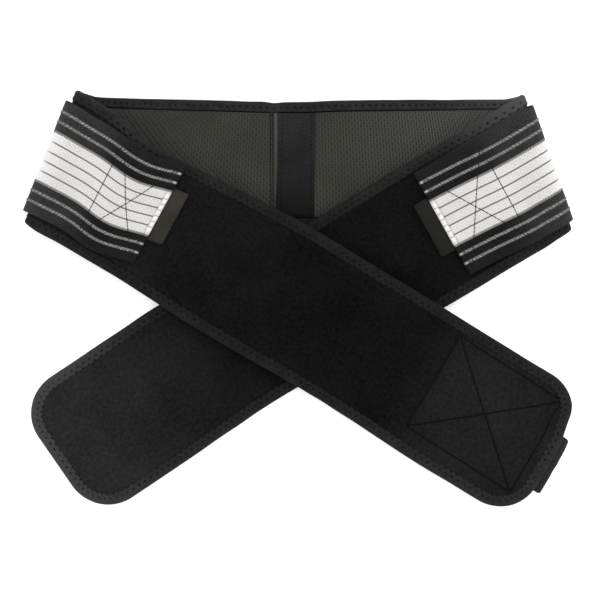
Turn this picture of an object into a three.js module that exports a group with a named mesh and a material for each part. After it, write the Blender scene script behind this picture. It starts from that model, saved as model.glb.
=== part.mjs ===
// Hip support belt, laid out flat. The back panel lies with its lining up, the belt folds over at both
// sides, and the two arms cross in front with their outer faces up, the left arm over the right one.
// Millimetres, +Z up, +Y towards the back panel. The origin is under the middle of the belt.

import * as THREE from "three";
import { mergeVertices } from "three/addons/utils/BufferGeometryUtils.js";

// Layers of the band, measured from its middle surface; plus is towards the outer, loop-covered face
const LOOP_FACE = 2.4;
const PAD_TONGUE = 1.3;
const PAD_BACK = -1.1;
const LINING_FRONT = -1.4;
const LINING_BACK = -2.6;
const GAP = 0.3;

// Edge binding: a tape folded over the edge, with a leg on each face
const BINDING_WIDTH = 8;
const BINDING_WALL = 1;
const BINDING_FRONT = 2.6;
const BINDING_BACK = -2.4;
const BINDING_ROUND = 1.2;
const PAD_SHOULDER = 0.6;

// Ends of the arms
const END_RADIUS = 30;
const END_PATCH_LENGTH = 86;
const END_PATCH_WIDTH = 73;
const END_PATCH_INSET = 14;
const END_PATCH_ACROSS = 3;
const HOOK_THICKNESS = 1.2;
const END_TAB_WIDTH = 43;
const END_TAB_REACH = 5.5;
const END_TAB_ACROSS = -3.5;
const TAPE_THICKNESS = 1;

// Centre-back tape
const CENTER_TAPE_WIDTH = 25;

// Elastic straps and what is sewn to their ends
const STRAP_WIDTH = 80;
const STRAP_THICKNESS = 1.6;
const STRAP_PATCH_LENGTH = 44;
const STRAP_PATCH_WIDTH = 76;
const TAB_WIDTH = 41;
const TAB_TUCK = 8;
const TAB_REACH = 11;
const TAB_THICKNESS = 1.6;

// Heights of the middle surface: the back panel lies on the straps, the right arm's end on its lining and
// the left arm's end on its hook patch
const BACK_Z = STRAP_THICKNESS + GAP + BINDING_FRONT;
const RIGHT_TIP_Z = -LINING_BACK;
const LEFT_TIP_Z = -LINING_BACK + GAP + HOOK_THICKNESS;

// Mesh fineness
const FOLD_STEPS = 8;
const ROW_STEP = 24;
const STRAP_ROW_STEP = 12;
const COLUMNS = 5;
const CORNER_STEPS = 6;
const SLOPE_STEP = 0.05;
const MERGE_TOLERANCE = 1e-3;

// The middle of the back panel, where the two halves meet
const CENTRE_BACK = { upperX: 0, upperY: 137, upperZ: BACK_Z, lowerX: 0, lowerY: 48.5, lowerZ: BACK_Z };

// Each half from the centre outwards. A row is one line across the belt, from its upper to its lower edge.
// The fold's rows follow a half turn whose radius differs at the two edges; side is its outermost line.
const LEFT_HALF = {
  back: [
    { upperX: -70, upperY: 138.5, upperZ: BACK_Z, lowerX: -82, lowerY: 48.5, lowerZ: BACK_Z },
    { upperX: -112, upperY: 139.4, upperZ: BACK_Z, lowerX: -140, lowerY: 49, lowerZ: BACK_Z },
  ],
  fold: {
    side: { upperX: -150.5, upperY: 143.2, lowerX: -187, lowerY: 51 },
    upperRadius: 10,
    lowerRadius: 8,
    backAngle: -14,
    armAngle: -34,
  },
  arm: [
    { upperX: -122, upperY: 124.5, upperZ: 20.5, lowerX: -164, lowerY: 37.5, lowerZ: 16.5 },
    { upperX: -102, upperY: 107, upperZ: 17.5, lowerX: -149, lowerY: 28.5, lowerZ: 13.5 },
    { upperX: -74.5, upperY: 92.5, upperZ: 14.5, lowerX: -123, lowerY: 13, lowerZ: 11.5 },
    { upperX: -33, upperY: 71.5, upperZ: 14, lowerX: -83, lowerY: -13, lowerZ: 12 },
    { upperX: 8.5, upperY: 49, upperZ: 16.5, lowerX: -41.5, lowerY: -37.5, lowerZ: 13.5 },
    { upperX: 49.5, upperY: 24.5, upperZ: 17, lowerX: -0.5, lowerY: -61, lowerZ: 12 },
    { upperX: 91, upperY: -0.5, upperZ: 14, lowerX: 40.5, lowerY: -87, lowerZ: 8 },
    { upperX: 133.5, upperY: -26.5, upperZ: 8, lowerX: 81.5, lowerY: -114, lowerZ: 4.6 },
    { upperX: 165, upperY: -45.5, upperZ: 4.6, lowerX: 113, lowerY: -133, lowerZ: LEFT_TIP_Z },
    { upperX: 203, upperY: -68.5, upperZ: LEFT_TIP_Z, lowerX: 150.8, lowerY: -156.5, lowerZ: LEFT_TIP_Z },
  ],
};
const RIGHT_HALF = {
  back: [
    { upperX: 28, upperY: 138, upperZ: BACK_Z, lowerX: 31, lowerY: 48.2, lowerZ: BACK_Z },
    { upperX: 78, upperY: 138.6, upperZ: BACK_Z, lowerX: 88.5, lowerY: 47.5, lowerZ: BACK_Z },
  ],
  fold: {
    side: { upperX: 153.5, upperY: 140.2, lowerX: 187, lowerY: 46.2 },
    upperRadius: 10,
    lowerRadius: 8,
    backAngle: 180 + 8,
    armAngle: 180 + 34,
  },
  arm: [
    { upperX: 125, upperY: 122.5, upperZ: 20, lowerX: 170.5, lowerY: 35, lowerZ: 16.5 },
    { upperX: 98, upperY: 107, upperZ: 17, lowerX: 148.5, lowerY: 22, lowerZ: 13.5 },
    { upperX: 70.5, upperY: 91, upperZ: 14.5, lowerX: 121, lowerY: 5, lowerZ: 8.5 },
    { upperX: 36, upperY: 70, upperZ: 12, lowerX: 86, lowerY: -15.5, lowerZ: 4 },
    { upperX: 3.5, upperY: 50, upperZ: 10.7, lowerX: 51.5, lowerY: -34, lowerZ: 3.5 },
    { upperX: -30, upperY: 32, upperZ: 8.5, lowerX: 17.5, lowerY: -52, lowerZ: 3 },
    { upperX: -64.5, upperY: 13, upperZ: 6, lowerX: -16, lowerY: -71.5, lowerZ: 2.7 },
    { upperX: -99.5, upperY: -6, upperZ: 3.5, lowerX: -47, lowerY: -92.3, lowerZ: RIGHT_TIP_Z },
    { upperX: -131.5, upperY: -27, upperZ: RIGHT_TIP_Z, lowerX: -76.5, lowerY: -112.5, lowerZ: RIGHT_TIP_Z },
    { upperX: -198.2, upperY: -72, upperZ: RIGHT_TIP_Z, lowerX: -140.6, lowerY: -155.4, lowerZ: RIGHT_TIP_Z },
  ],
};

// Each strap on the band's outer face: distance from the centre back, its middle's shift towards the belt's
// upper edge, and its height over the loop face. The last row is where its grip tab would end.
const LEFT_STRAP = {
  start: 6,
  end: 264,
  rows: [
    { along: 0, across: 0, lift: 0.5 },
    { along: 161, across: -1, lift: 0.5 },
    { along: 167, across: -1.4, lift: 1.3 },
    { along: 173, across: -1, lift: 2.4 },
    { along: 183, across: -0.2, lift: 2.4 },
    { along: 216, across: 0.8, lift: 2 },
    { along: 236, across: 1.5, lift: 2.1 },
    { along: 264, across: 7, lift: 2.8 },
    { along: 275, across: 8.5, lift: 3 },
  ],
};
const RIGHT_STRAP = {
  start: 6,
  end: 264,
  rows: [
    { along: 0, across: 0, lift: 0.5 },
    { along: 162, across: -0.4, lift: 0.5 },
    { along: 168, across: -1.4, lift: 1 },
    { along: 174, across: -1.9, lift: 1.7 },
    { along: 191, across: -3, lift: 2 },
    { along: 212, across: -2.2, lift: 2 },
    { along: 238, across: -0.3, lift: 2.2 },
    { along: 264, across: 1.5, lift: 2.6 },
    { along: 275, across: 2, lift: 2.8 },
  ],
};

const EDGE_COLUMNS = ["upperX", "upperY", "upperZ", "lowerX", "lowerY", "lowerZ"];

// Finishes
function fabric(color, roughness) {
  return new THREE.MeshStandardMaterial({ color, roughness, metalness: 0 });
}

const LOOP_BLACK = fabric(0x1b1b1c, 0.95);
const MESH_OLIVE = fabric(0x44433b, 0.9);
const BINDING_BLACK = fabric(0x2b2c2d, 0.85);
const TAPE_BLACK = fabric(0x262627, 0.8);
const ELASTIC_WHITE = fabric(0xe9e7e3, 0.9);
const TAB_GREY = fabric(0x403d36, 0.85);
const HOOK_BLACK = fabric(0x161616, 0.7);

// Slopes of a curve through the values at the knots that never overshoots them
function steadySlopes(knots, values) {
  const last = knots.length - 1;
  const steps = values.slice(1).map((value, i) => (value - values[i]) / (knots[i + 1] - knots[i]));
  const slopes = knots.map((knot, i) => {
    if (i === 0 || i === last) {
      return steps[i === 0 ? 0 : last - 1];
    }
    const before = steps[i - 1];
    const after = steps[i];
    if (before * after <= 0) {
      return 0;
    }
    const beforeSpan = knots[i] - knots[i - 1];
    const afterSpan = knots[i + 1] - knots[i];
    const beforeWeight = 2 * afterSpan + beforeSpan;
    const afterWeight = afterSpan + 2 * beforeSpan;
    return (beforeWeight + afterWeight) / (beforeWeight / before + afterWeight / after);
  });
  return slopes;
}

// A smooth curve through a table's column, straight beyond its first and last rows
class SteadyCurve {
  constructor(knots, values) {
    this.knots = knots;
    this.values = values;
    this.slopes = steadySlopes(knots, values);
  }

  at(place) {
    const { knots, values, slopes } = this;
    const last = knots.length - 1;
    if (place <= knots[0]) {
      return values[0] + slopes[0] * (place - knots[0]);
    }
    if (place >= knots[last]) {
      return values[last] + slopes[last] * (place - knots[last]);
    }
    const i = knots.findIndex((knot) => knot > place) - 1;
    const span = knots[i + 1] - knots[i];
    const t = (place - knots[i]) / span;
    const ease = t * t * (3 - 2 * t);
    const fromStart = t * (1 - t) * (1 - t) * span;
    const toEnd = t * t * (t - 1) * span;
    return values[i] * (1 - ease) + values[i + 1] * ease + slopes[i] * fromStart + slopes[i + 1] * toEnd;
  }
}

function planDirection(degrees) {
  const angle = THREE.MathUtils.degToRad(degrees);
  return new THREE.Vector2(Math.cos(angle), Math.sin(angle));
}

// The rows of one fold, from the back panel round to the arm
function foldRows({ side, upperRadius, lowerRadius, backAngle, armAngle }) {
  const alongBack = planDirection(backAngle);
  const alongArm = planDirection(armAngle);
  const rows = [];
  for (let step = 0; step <= FOLD_STEPS; step++) {
    const turn = (Math.PI * step) / FOLD_STEPS;
    const away = turn < Math.PI / 2 ? alongBack : alongArm;
    const tuck = 1 - Math.sin(turn);
    const rise = 1 - Math.cos(turn);
    rows.push({
      upperX: side.upperX + away.x * upperRadius * tuck,
      upperY: side.upperY + away.y * upperRadius * tuck,
      upperZ: BACK_Z + upperRadius * rise,
      lowerX: side.lowerX + away.x * lowerRadius * tuck,
      lowerY: side.lowerY + away.y * lowerRadius * tuck,
      lowerZ: BACK_Z + lowerRadius * rise,
    });
  }
  return rows;
}

function halfRows(half) {
  return [...half.back, ...foldRows(half.fold), ...half.arm];
}

function middle(row) {
  const upper = new THREE.Vector3(row.upperX, row.upperY, row.upperZ);
  return upper.add(new THREE.Vector3(row.lowerX, row.lowerY, row.lowerZ)).multiplyScalar(0.5);
}

// The belt's middle surface. A place on it is the distance along from the centre back, plus to the left
// arm, and the distance across from the middle line, plus to the upper edge; offset is along its outer
// normal.
class BeltSurface {
  constructor() {
    const right = halfRows(RIGHT_HALF).reverse();
    const rows = [...right, CENTRE_BACK, ...halfRows(LEFT_HALF)];
    const middles = rows.map(middle);
    const knots = [0];
    for (let i = 1; i < rows.length; i++) {
      knots.push(knots[i - 1] + middles[i].distanceTo(middles[i - 1]));
    }
    const centre = knots[right.length];
    this.knots = knots.map((knot) => knot - centre);
    this.rightEnd = this.knots[0];
    this.leftEnd = this.knots.at(-1);
    this.curves = {};
    for (const column of EDGE_COLUMNS) {
      this.curves[column] = new SteadyCurve(this.knots, rows.map((row) => row[column]));
    }
  }

  edge(name, along) {
    const [x, y, z] = ["X", "Y", "Z"].map((axis) => this.curves[name + axis].at(along));
    return new THREE.Vector3(x, y, z);
  }

  width(along) {
    return this.edge("upper", along).distanceTo(this.edge("lower", along));
  }

  spot(along, share) {
    return this.edge("lower", along).lerp(this.edge("upper", along), share);
  }

  point(along, across, offset) {
    const share = 0.5 + across / this.width(along);
    const ahead = this.spot(along + SLOPE_STEP, share).sub(this.spot(along - SLOPE_STEP, share));
    const sideways = this.edge("upper", along).sub(this.edge("lower", along));
    const normal = ahead.cross(sideways).normalize();
    return this.spot(along, share).addScaledVector(normal, offset);
  }

  // Places of the cross rows between two ends: the table's rows, and more where those are far apart
  rowPlaces(from, to, rowStep) {
    const places = [from];
    for (let i = 1; i < this.knots.length; i++) {
      const start = this.knots[i - 1];
      const span = this.knots[i] - start;
      const count = Math.ceil(span / rowStep);
      for (let step = 1; step <= count; step++) {
        const place = start + (span * step) / count;
        if (place > from + 1 && place < to - 1) {
          places.push(place);
        }
      }
    }
    places.push(to);
    return places;
  }
}

const belt = new BeltSurface();

// Rows of a panel of the band at a distance inside its edge, with each row's half width; the ends that are
// rounded follow the arm's corner radius
function bandRows(inset, { from, to, roundFrom, roundTo }) {
  const straightFrom = roundFrom ? from + END_RADIUS : from;
  const straightTo = roundTo ? to - END_RADIUS : to;
  const corner = (end, outward) => {
    const rows = [];
    for (let step = 1; step <= CORNER_STEPS; step++) {
      const turn = (Math.PI / 2) * (step / CORNER_STEPS);
      const along = end + outward * (END_RADIUS - inset) * Math.sin(turn);
      const half = belt.width(along) / 2 - END_RADIUS + (END_RADIUS - inset) * Math.cos(turn);
      rows.push({ along, half });
    }
    return rows;
  };
  const rows = belt.rowPlaces(straightFrom, straightTo, ROW_STEP).map((along) => {
    return { along, half: belt.width(along) / 2 - inset };
  });
  if (roundFrom) {
    rows.unshift(...corner(straightFrom, -1).reverse());
  }
  if (roundTo) {
    rows.push(...corner(straightTo, 1));
  }
  return rows;
}

// Rows of a plain rectangle on a surface
function rectangleRows(from, to, width) {
  return belt.rowPlaces(from, to, STRAP_ROW_STEP).map((along) => ({ along, half: width / 2 }));
}

// Collects triangles on a surface and closes them into a solid
class Skin {
  constructor(surface) {
    this.surface = surface;
    this.corners = [];
  }

  rowPoints({ along, half }, offset) {
    const points = [];
    for (let column = 0; column <= COLUMNS; column++) {
      const across = half * ((2 * column) / COLUMNS - 1);
      points.push(this.surface.point(along, across, offset));
    }
    return points;
  }

  // The outline of a panel, once round: out along the lower edge and back along the upper one
  loop(rows, offset) {
    const first = this.rowPoints(rows[0], offset);
    const last = this.rowPoints(rows.at(-1), offset);
    const between = rows.slice(1, -1);
    const lowerSide = between.map(({ along, half }) => this.surface.point(along, -half, offset));
    const upperSide = between.map(({ along, half }) => this.surface.point(along, half, offset));
    return [first[0], ...lowerSide, ...last, ...upperSide.reverse(), ...first.reverse().slice(0, -1)];
  }

  quad(a, b, c, d) {
    this.corners.push(a, b, c, a, c, d);
  }

  ring(loopAbove, loopBelow) {
    loopAbove.forEach((point, i) => {
      const next = (i + 1) % loopAbove.length;
      this.quad(point, loopBelow[i], loopBelow[next], loopAbove[next]);
    });
  }

  cap(rows, offset, facesOut) {
    const lines = rows.map((row) => this.rowPoints(row, offset));
    for (let i = 1; i < lines.length; i++) {
      for (let column = 0; column < COLUMNS; column++) {
        const [a, b] = [lines[i - 1][column], lines[i][column]];
        const [c, d] = [lines[i][column + 1], lines[i - 1][column + 1]];
        if (facesOut) {
          this.quad(a, b, c, d);
        } else {
          this.quad(a, d, c, b);
        }
      }
    }
  }

  geometry() {
    const plain = new THREE.BufferGeometry().setFromPoints(this.corners);
    const merged = mergeVertices(plain, MERGE_TOLERANCE);
    merged.computeVertexNormals();
    return merged;
  }
}

// A panel whose profile runs from the middle of its outer face, over its edge, to its inner face
function panel(surface, rowsAt, profile) {
  const skin = new Skin(surface);
  const loops = profile.map(({ inset, offset }) => skin.loop(rowsAt(inset), offset));
  for (let i = 1; i < loops.length; i++) {
    skin.ring(loops[i - 1], loops[i]);
  }
  skin.cap(rowsAt(profile[0].inset), profile[0].offset, true);
  skin.cap(rowsAt(profile.at(-1).inset), profile.at(-1).offset, false);
  return skin.geometry();
}

// A plate of even thickness with plain sides
function plate(surface, rows, outer, inner) {
  return panel(surface, () => rows, [{ inset: 0, offset: outer }, { inset: 0, offset: inner }]);
}

const LEFT_SPAN = { from: GAP / 2, to: belt.leftEnd, roundTo: true };
const RIGHT_SPAN = { from: belt.rightEnd, to: -GAP / 2, roundFrom: true };
const WHOLE_SPAN = { from: belt.rightEnd, to: belt.leftEnd, roundFrom: true, roundTo: true };

// The padded band is thinned to a tongue where the binding grips its edge
function paddedBand(span) {
  const shoulder = BINDING_WIDTH + GAP;
  const tongueEdge = BINDING_WALL + GAP;
  return panel(belt, (inset) => bandRows(inset, span), [
    { inset: shoulder + PAD_SHOULDER, offset: LOOP_FACE },
    { inset: shoulder, offset: PAD_TONGUE },
    { inset: tongueEdge, offset: PAD_TONGUE },
    { inset: tongueEdge, offset: PAD_BACK },
  ]);
}

function lining(span) {
  return plate(belt, bandRows(BINDING_WIDTH + GAP, span), LINING_FRONT, LINING_BACK);
}

function edgeBinding() {
  const front = BINDING_FRONT - BINDING_WALL;
  const back = BINDING_BACK + BINDING_WALL;
  const profile = [
    { inset: BINDING_WIDTH, offset: BINDING_FRONT },
    { inset: BINDING_ROUND, offset: BINDING_FRONT },
    { inset: 0, offset: BINDING_FRONT - BINDING_ROUND },
    { inset: 0, offset: BINDING_BACK + BINDING_ROUND },
    { inset: BINDING_ROUND, offset: BINDING_BACK },
    { inset: BINDING_WIDTH, offset: BINDING_BACK },
    { inset: BINDING_WIDTH, offset: back },
    { inset: BINDING_WALL, offset: back },
    { inset: BINDING_WALL, offset: front },
    { inset: BINDING_WIDTH, offset: front },
  ];
  const skin = new Skin(belt);
  const loops = profile.map(({ inset, offset }) => skin.loop(bandRows(inset, WHOLE_SPAN), offset));
  loops.forEach((loop, i) => skin.ring(loop, loops[(i + 1) % loops.length]));
  return skin.geometry();
}

function centerTape() {
  const half = CENTER_TAPE_WIDTH / 2;
  const rows = [-half, half].map((along) => {
    return { along, half: belt.width(along) / 2 - BINDING_WIDTH - GAP };
  });
  return plate(belt, rows, LINING_BACK - GAP, LINING_BACK - GAP - TAPE_THICKNESS);
}

// The belt's surface with its middle line moved across
function shiftedBelt(shift) {
  return { point: (along, across, offset) => belt.point(along, across + shift, offset) };
}

// The hook patch under the left arm's end, and the short grip tab that is sewn in beside it
function endPatch() {
  const to = belt.leftEnd - END_PATCH_INSET;
  const top = LINING_BACK - GAP;
  const rows = rectangleRows(to - END_PATCH_LENGTH, to, END_PATCH_WIDTH);
  return plate(shiftedBelt(END_PATCH_ACROSS), rows, top, top - HOOK_THICKNESS);
}

function endTab() {
  const from = belt.leftEnd - END_PATCH_INSET + GAP;
  const top = LINING_BACK - GAP;
  const rows = rectangleRows(from, belt.leftEnd + END_TAB_REACH, END_TAB_WIDTH);
  return plate(shiftedBelt(END_TAB_ACROSS), rows, top, top - TAPE_THICKNESS);
}

// A strap's underside as a surface: the belt's outer face, shifted and lifted by the strap's table
class StrapSurface {
  constructor({ rows }) {
    const places = rows.map((row) => row.along);
    this.across = new SteadyCurve(places, rows.map((row) => row.across));
    this.lift = new SteadyCurve(places, rows.map((row) => row.lift));
  }

  point(along, across, offset) {
    const place = Math.abs(along);
    return belt.point(along, this.across.at(place) + across, LOOP_FACE + this.lift.at(place) + offset);
  }
}

// A strap, its hook patch and its grip tab; side is 1 on the left half and -1 on the right one
function strapPieces(strap, side) {
  const surface = new StrapSurface(strap);
  const stretch = (from, to, width) => {
    const [low, high] = side > 0 ? [from, to] : [-to, -from];
    return rectangleRows(low, high, width);
  };
  const tabFrom = strap.end - TAB_TUCK;
  const patchTo = tabFrom - GAP;
  const strapRows = stretch(strap.start, strap.end, STRAP_WIDTH);
  const patchRows = stretch(patchTo - STRAP_PATCH_LENGTH, patchTo, STRAP_PATCH_WIDTH);
  const tabRows = stretch(tabFrom, strap.end + TAB_REACH, TAB_WIDTH);
  return {
    strap: plate(surface, strapRows, STRAP_THICKNESS, 0),
    patch: plate(surface, patchRows, -GAP, -GAP - HOOK_THICKNESS),
    tab: plate(surface, tabRows, -GAP, -GAP - TAB_THICKNESS),
  };
}

const laidBelt = new THREE.Group();

function add(name, geometry, material) {
  const mesh = new THREE.Mesh(geometry, material);
  mesh.name = name;
  laidBelt.add(mesh);
}

add("band_left", paddedBand(LEFT_SPAN), LOOP_BLACK);
add("band_right", paddedBand(RIGHT_SPAN), LOOP_BLACK);
add("lining_left", lining(LEFT_SPAN), MESH_OLIVE);
add("lining_right", lining(RIGHT_SPAN), MESH_OLIVE);
add("edge_binding", edgeBinding(), BINDING_BLACK);
add("center_tape", centerTape(), TAPE_BLACK);
add("end_hook_patch", endPatch(), HOOK_BLACK);
add("end_pull_tab", endTab(), BINDING_BLACK);

for (const [name, strap, side] of [["left", LEFT_STRAP, 1], ["right", RIGHT_STRAP, -1]]) {
  const pieces = strapPieces(strap, side);
  add(`elastic_strap_${name}`, pieces.strap, ELASTIC_WHITE);
  add(`strap_hook_patch_${name}`, pieces.patch, HOOK_BLACK);
  add(`pull_tab_${name}`, pieces.tab, TAB_GREY);
}

// Set the origin under the middle of the belt's box
const box = new THREE.Box3().setFromObject(laidBelt);
const centre = box.getCenter(new THREE.Vector3());
laidBelt.position.set(-centre.x, -centre.y, -box.min.z);

const hipBelt = new THREE.Group();
hipBelt.add(laidBelt);

export default hipBelt;
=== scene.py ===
"""Hip support belt, laid out flat on a pale floor.

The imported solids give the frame. Each soft piece is built again here as fine cloth over the same middle
surface: padded bands, mesh lining, bound edge, ribbed tape, striped elastic straps, grip tabs and hooks,
with their stitching, finishes, studio light and camera.
"""

import logging
from dataclasses import dataclass, field
from enum import Enum
from functools import cache, reduce
from typing import Callable, NamedTuple, Sequence

import bpy
import numpy as np
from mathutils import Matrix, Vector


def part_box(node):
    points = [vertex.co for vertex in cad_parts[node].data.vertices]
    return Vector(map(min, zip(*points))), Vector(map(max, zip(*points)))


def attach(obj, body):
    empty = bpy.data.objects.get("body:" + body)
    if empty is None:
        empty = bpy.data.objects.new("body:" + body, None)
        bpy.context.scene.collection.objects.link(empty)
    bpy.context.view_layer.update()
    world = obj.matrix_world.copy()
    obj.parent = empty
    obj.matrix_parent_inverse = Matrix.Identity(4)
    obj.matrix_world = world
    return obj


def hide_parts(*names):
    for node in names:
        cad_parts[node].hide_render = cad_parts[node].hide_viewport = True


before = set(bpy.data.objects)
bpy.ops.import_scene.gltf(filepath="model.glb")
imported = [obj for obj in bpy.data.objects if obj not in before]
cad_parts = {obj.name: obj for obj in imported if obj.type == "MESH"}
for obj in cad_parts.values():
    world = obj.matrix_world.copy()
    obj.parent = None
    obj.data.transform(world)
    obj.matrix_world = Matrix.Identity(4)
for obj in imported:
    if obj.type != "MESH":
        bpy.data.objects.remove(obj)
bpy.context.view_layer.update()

LOG = logging.getLogger("hip_belt")
MM = 0.001
FLAT_MAP = "Flat"
SHARP_ANGLE = np.radians(50)
SLOPE_STEP = 0.05 * MM
BODY = "root"

Array = np.ndarray
Material = bpy.types.Material
Piece = bpy.types.Object
Socket = bpy.types.NodeSocket
Tree = bpy.types.NodeTree
Color = tuple[float, float, float, float]
Placing = Callable[[Array, Array, Array], Array]
Heights = Callable[[Array, Array], Array]


class Side(Enum):
    """The belt's two halves; the value is the sign of the distance along it."""

    LEFT = 1
    RIGHT = -1

    @property
    def word(self) -> str:
        """The half's name in a piece's name."""
        return self.name.lower()


class Slot(Enum):
    """Names of material slots."""

    LOOP = "loop_fabric"
    AIR_MESH = "air_mesh"
    BINDING = "binding_tape"
    RIBBED = "ribbed_tape"
    ELASTIC = "striped_elastic"
    TAB = "tab_webbing"
    HOOK = "hook_fastener"


class Hold(Enum):
    """How a sheet of cloth is held."""

    LAID = "laid"
    FOLDED = "folded"
    STRETCHED = "stretched"


class EdgeRow(NamedTuple):
    """One line across the belt from its upper to its lower edge, in millimetres."""

    upper_x: float
    upper_y: float
    upper_z: float
    lower_x: float
    lower_y: float
    lower_z: float


class StrapRow(NamedTuple):
    """A strap's middle at a distance from the centre back, in millimetres."""

    along: float
    across: float
    lift: float


@dataclass(frozen=True)
class Layers:
    """Heights of the band's layers from its middle surface, plus towards the outer face."""

    loop_face: float = 2.4 * MM
    pad_tongue: float = 1.3 * MM
    pad_back: float = -1.1 * MM
    lining_front: float = -1.4 * MM
    lining_back: float = -2.6 * MM
    binding_front: float = 2.6 * MM
    binding_back: float = -2.4 * MM
    gap: float = 0.3 * MM


LAYERS = Layers()
STRAP_THICKNESS = 1.6 * MM
STRAP_END = 264 * MM
HEM = 3.6 * MM
BEAD_PITCH = 4.55 * MM
TOOTH_PITCH = 1.4 * MM
WHITE_HALF = 17.7 * MM
LINE_MIDDLES = (3.5 * MM, 10.5 * MM)
ROPE_MIDDLES = (24.7 * MM, 31.8 * MM)
FOLD_PLACE = 174 * MM
HOOK_THICKNESS = 1.2 * MM
TAPE_THICKNESS = 1.0 * MM
TAPE_RIB = 1.6 * MM
LINING_SEAMS = (17.4 * MM, 19.1 * MM)
LINING_RIDGE = 15.2 * MM
BINDING_WIDTH = 8.0 * MM
BINDING_PITCH = 5.0 * MM
BINDING_ROWS = (7.6 * MM, 4.7 * MM)
# Added to the flat places of the binding's lining side.
BINDING_BACK = 20 * MM
BINDING_BACK_ROW = 4.2 * MM
END_RADIUS = 30.0 * MM
BACK_Z = 4.5
RIGHT_TIP_Z = 2.6
LEFT_TIP_Z = 4.1
FOLD_STEPS = 8
VIEW_MIDDLE = np.array([1.4, -1.05]) * MM


@dataclass(frozen=True)
class Fold:
    """A half turn of the belt at one side, in millimetres and degrees."""

    upper_side: tuple[float, float]
    lower_side: tuple[float, float]
    back_angle: float
    arm_angle: float
    upper_radius: float = 10
    lower_radius: float = 8

    def rows(self) -> list[EdgeRow]:
        """Follows the turn.

        Returns:
            The rows from the back panel round to the arm.
        """
        made = []
        for turn in np.linspace(0, np.pi, FOLD_STEPS + 1):
            heading = np.radians(self.back_angle if turn < np.pi / 2 - 1e-9 else self.arm_angle)
            tuck, rise = 1 - np.sin(turn), 1 - np.cos(turn)
            ends = []
            for (x, y), radius in (
                (self.upper_side, self.upper_radius),
                (self.lower_side, self.lower_radius),
            ):
                shift = radius * tuck
                ends += [x + np.cos(heading) * shift, y + np.sin(heading) * shift, BACK_Z + radius * rise]
            made.append(EdgeRow(*ends))
        return made


@dataclass(frozen=True)
class Half:
    """One half of the belt from the centre back outwards."""

    back: tuple[EdgeRow, ...]
    fold: Fold
    arm: tuple[EdgeRow, ...]

    def rows(self) -> list[EdgeRow]:
        """All rows of this half, from the centre back outwards."""
        return [*self.back, *self.fold.rows(), *self.arm]


CENTRE_BACK = EdgeRow(0, 137, BACK_Z, 0, 48.5, BACK_Z)
LEFT_HALF = Half(
    back=(
        EdgeRow(-70, 138.5, BACK_Z, -82, 48.5, BACK_Z),
        EdgeRow(-112, 139.4, BACK_Z, -140, 49, BACK_Z),
    ),
    fold=Fold((-150.5, 143.2), (-187, 51), -14, -34),
    arm=(
        EdgeRow(-122, 124.5, 20.5, -164, 37.5, 16.5),
        EdgeRow(-102, 107, 17.5, -149, 28.5, 13.5),
        EdgeRow(-74.5, 92.5, 14.5, -123, 13, 11.5),
        EdgeRow(-33, 71.5, 14, -83, -13, 12),
        EdgeRow(8.5, 49, 16.5, -41.5, -37.5, 13.5),
        EdgeRow(49.5, 24.5, 17, -0.5, -61, 12),
        EdgeRow(91, -0.5, 14, 40.5, -87, 8),
        EdgeRow(133.5, -26.5, 8, 81.5, -114, 4.6),
        EdgeRow(165, -45.5, 4.6, 113, -133, LEFT_TIP_Z),
        EdgeRow(203, -68.5, LEFT_TIP_Z, 150.8, -156.5, LEFT_TIP_Z),
    ),
)
RIGHT_HALF = Half(
    back=(
        EdgeRow(28, 138, BACK_Z, 31, 48.2, BACK_Z),
        EdgeRow(78, 138.6, BACK_Z, 88.5, 47.5, BACK_Z),
    ),
    fold=Fold((153.5, 140.2), (187, 46.2), 188, 214),
    arm=(
        EdgeRow(125, 122.5, 20, 170.5, 35, 16.5),
        EdgeRow(98, 107, 17, 148.5, 22, 13.5),
        EdgeRow(70.5, 91, 14.5, 121, 5, 8.5),
        EdgeRow(36, 70, 12, 86, -15.5, 4),
        EdgeRow(3.5, 50, 10.7, 51.5, -34, 3.5),
        EdgeRow(-30, 32, 8.5, 17.5, -52, 3),
        EdgeRow(-64.5, 13, 6, -16, -71.5, 2.7),
        EdgeRow(-99.5, -6, 3.5, -47, -92.3, RIGHT_TIP_Z),
        EdgeRow(-131.5, -27, RIGHT_TIP_Z, -76.5, -112.5, RIGHT_TIP_Z),
        EdgeRow(-198.2, -72, RIGHT_TIP_Z, -140.6, -155.4, RIGHT_TIP_Z),
    ),
)
LEFT_STRAP_ROWS = (
    StrapRow(0, 0, 0.5),
    StrapRow(161, -1, 0.5),
    StrapRow(167, -1.4, 1.3),
    StrapRow(173, -1, 2.4),
    StrapRow(183, -0.3, 2.4),
    StrapRow(216, 0.4, 2),
    StrapRow(236, 1.3, 2.1),
    StrapRow(264, 7, 2.8),
    StrapRow(275, 8.5, 3),
)
RIGHT_STRAP_ROWS = (
    StrapRow(0, 0, 0.5),
    StrapRow(162, -0.4, 0.5),
    StrapRow(168, -1.4, 1),
    StrapRow(174, -1.9, 1.7),
    StrapRow(191, -3, 2),
    StrapRow(212, -2.2, 2),
    StrapRow(238, -0.3, 2.2),
    StrapRow(264, 1.5, 2.6),
    StrapRow(275, 2, 2.8),
)


def ease(value: Array, start: float, end: float) -> Array:
    """A smooth step from 0 at start to 1 at end."""
    t = np.clip((value - start) / (end - start), 0, 1)
    return t * t * (3 - 2 * t)


def bell(distance: Array, width: float) -> Array:
    """A smooth bump of height 1 at distance 0."""
    return np.exp(-((distance / width) ** 2))


def sway(place: Array, pitch: float, beat: float, other: Array, other_pitch: float) -> Array:
    """A slow wave along one distance, put off its beat by another one."""
    return np.sin(place / pitch + beat * np.sin(other / other_pitch))


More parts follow.
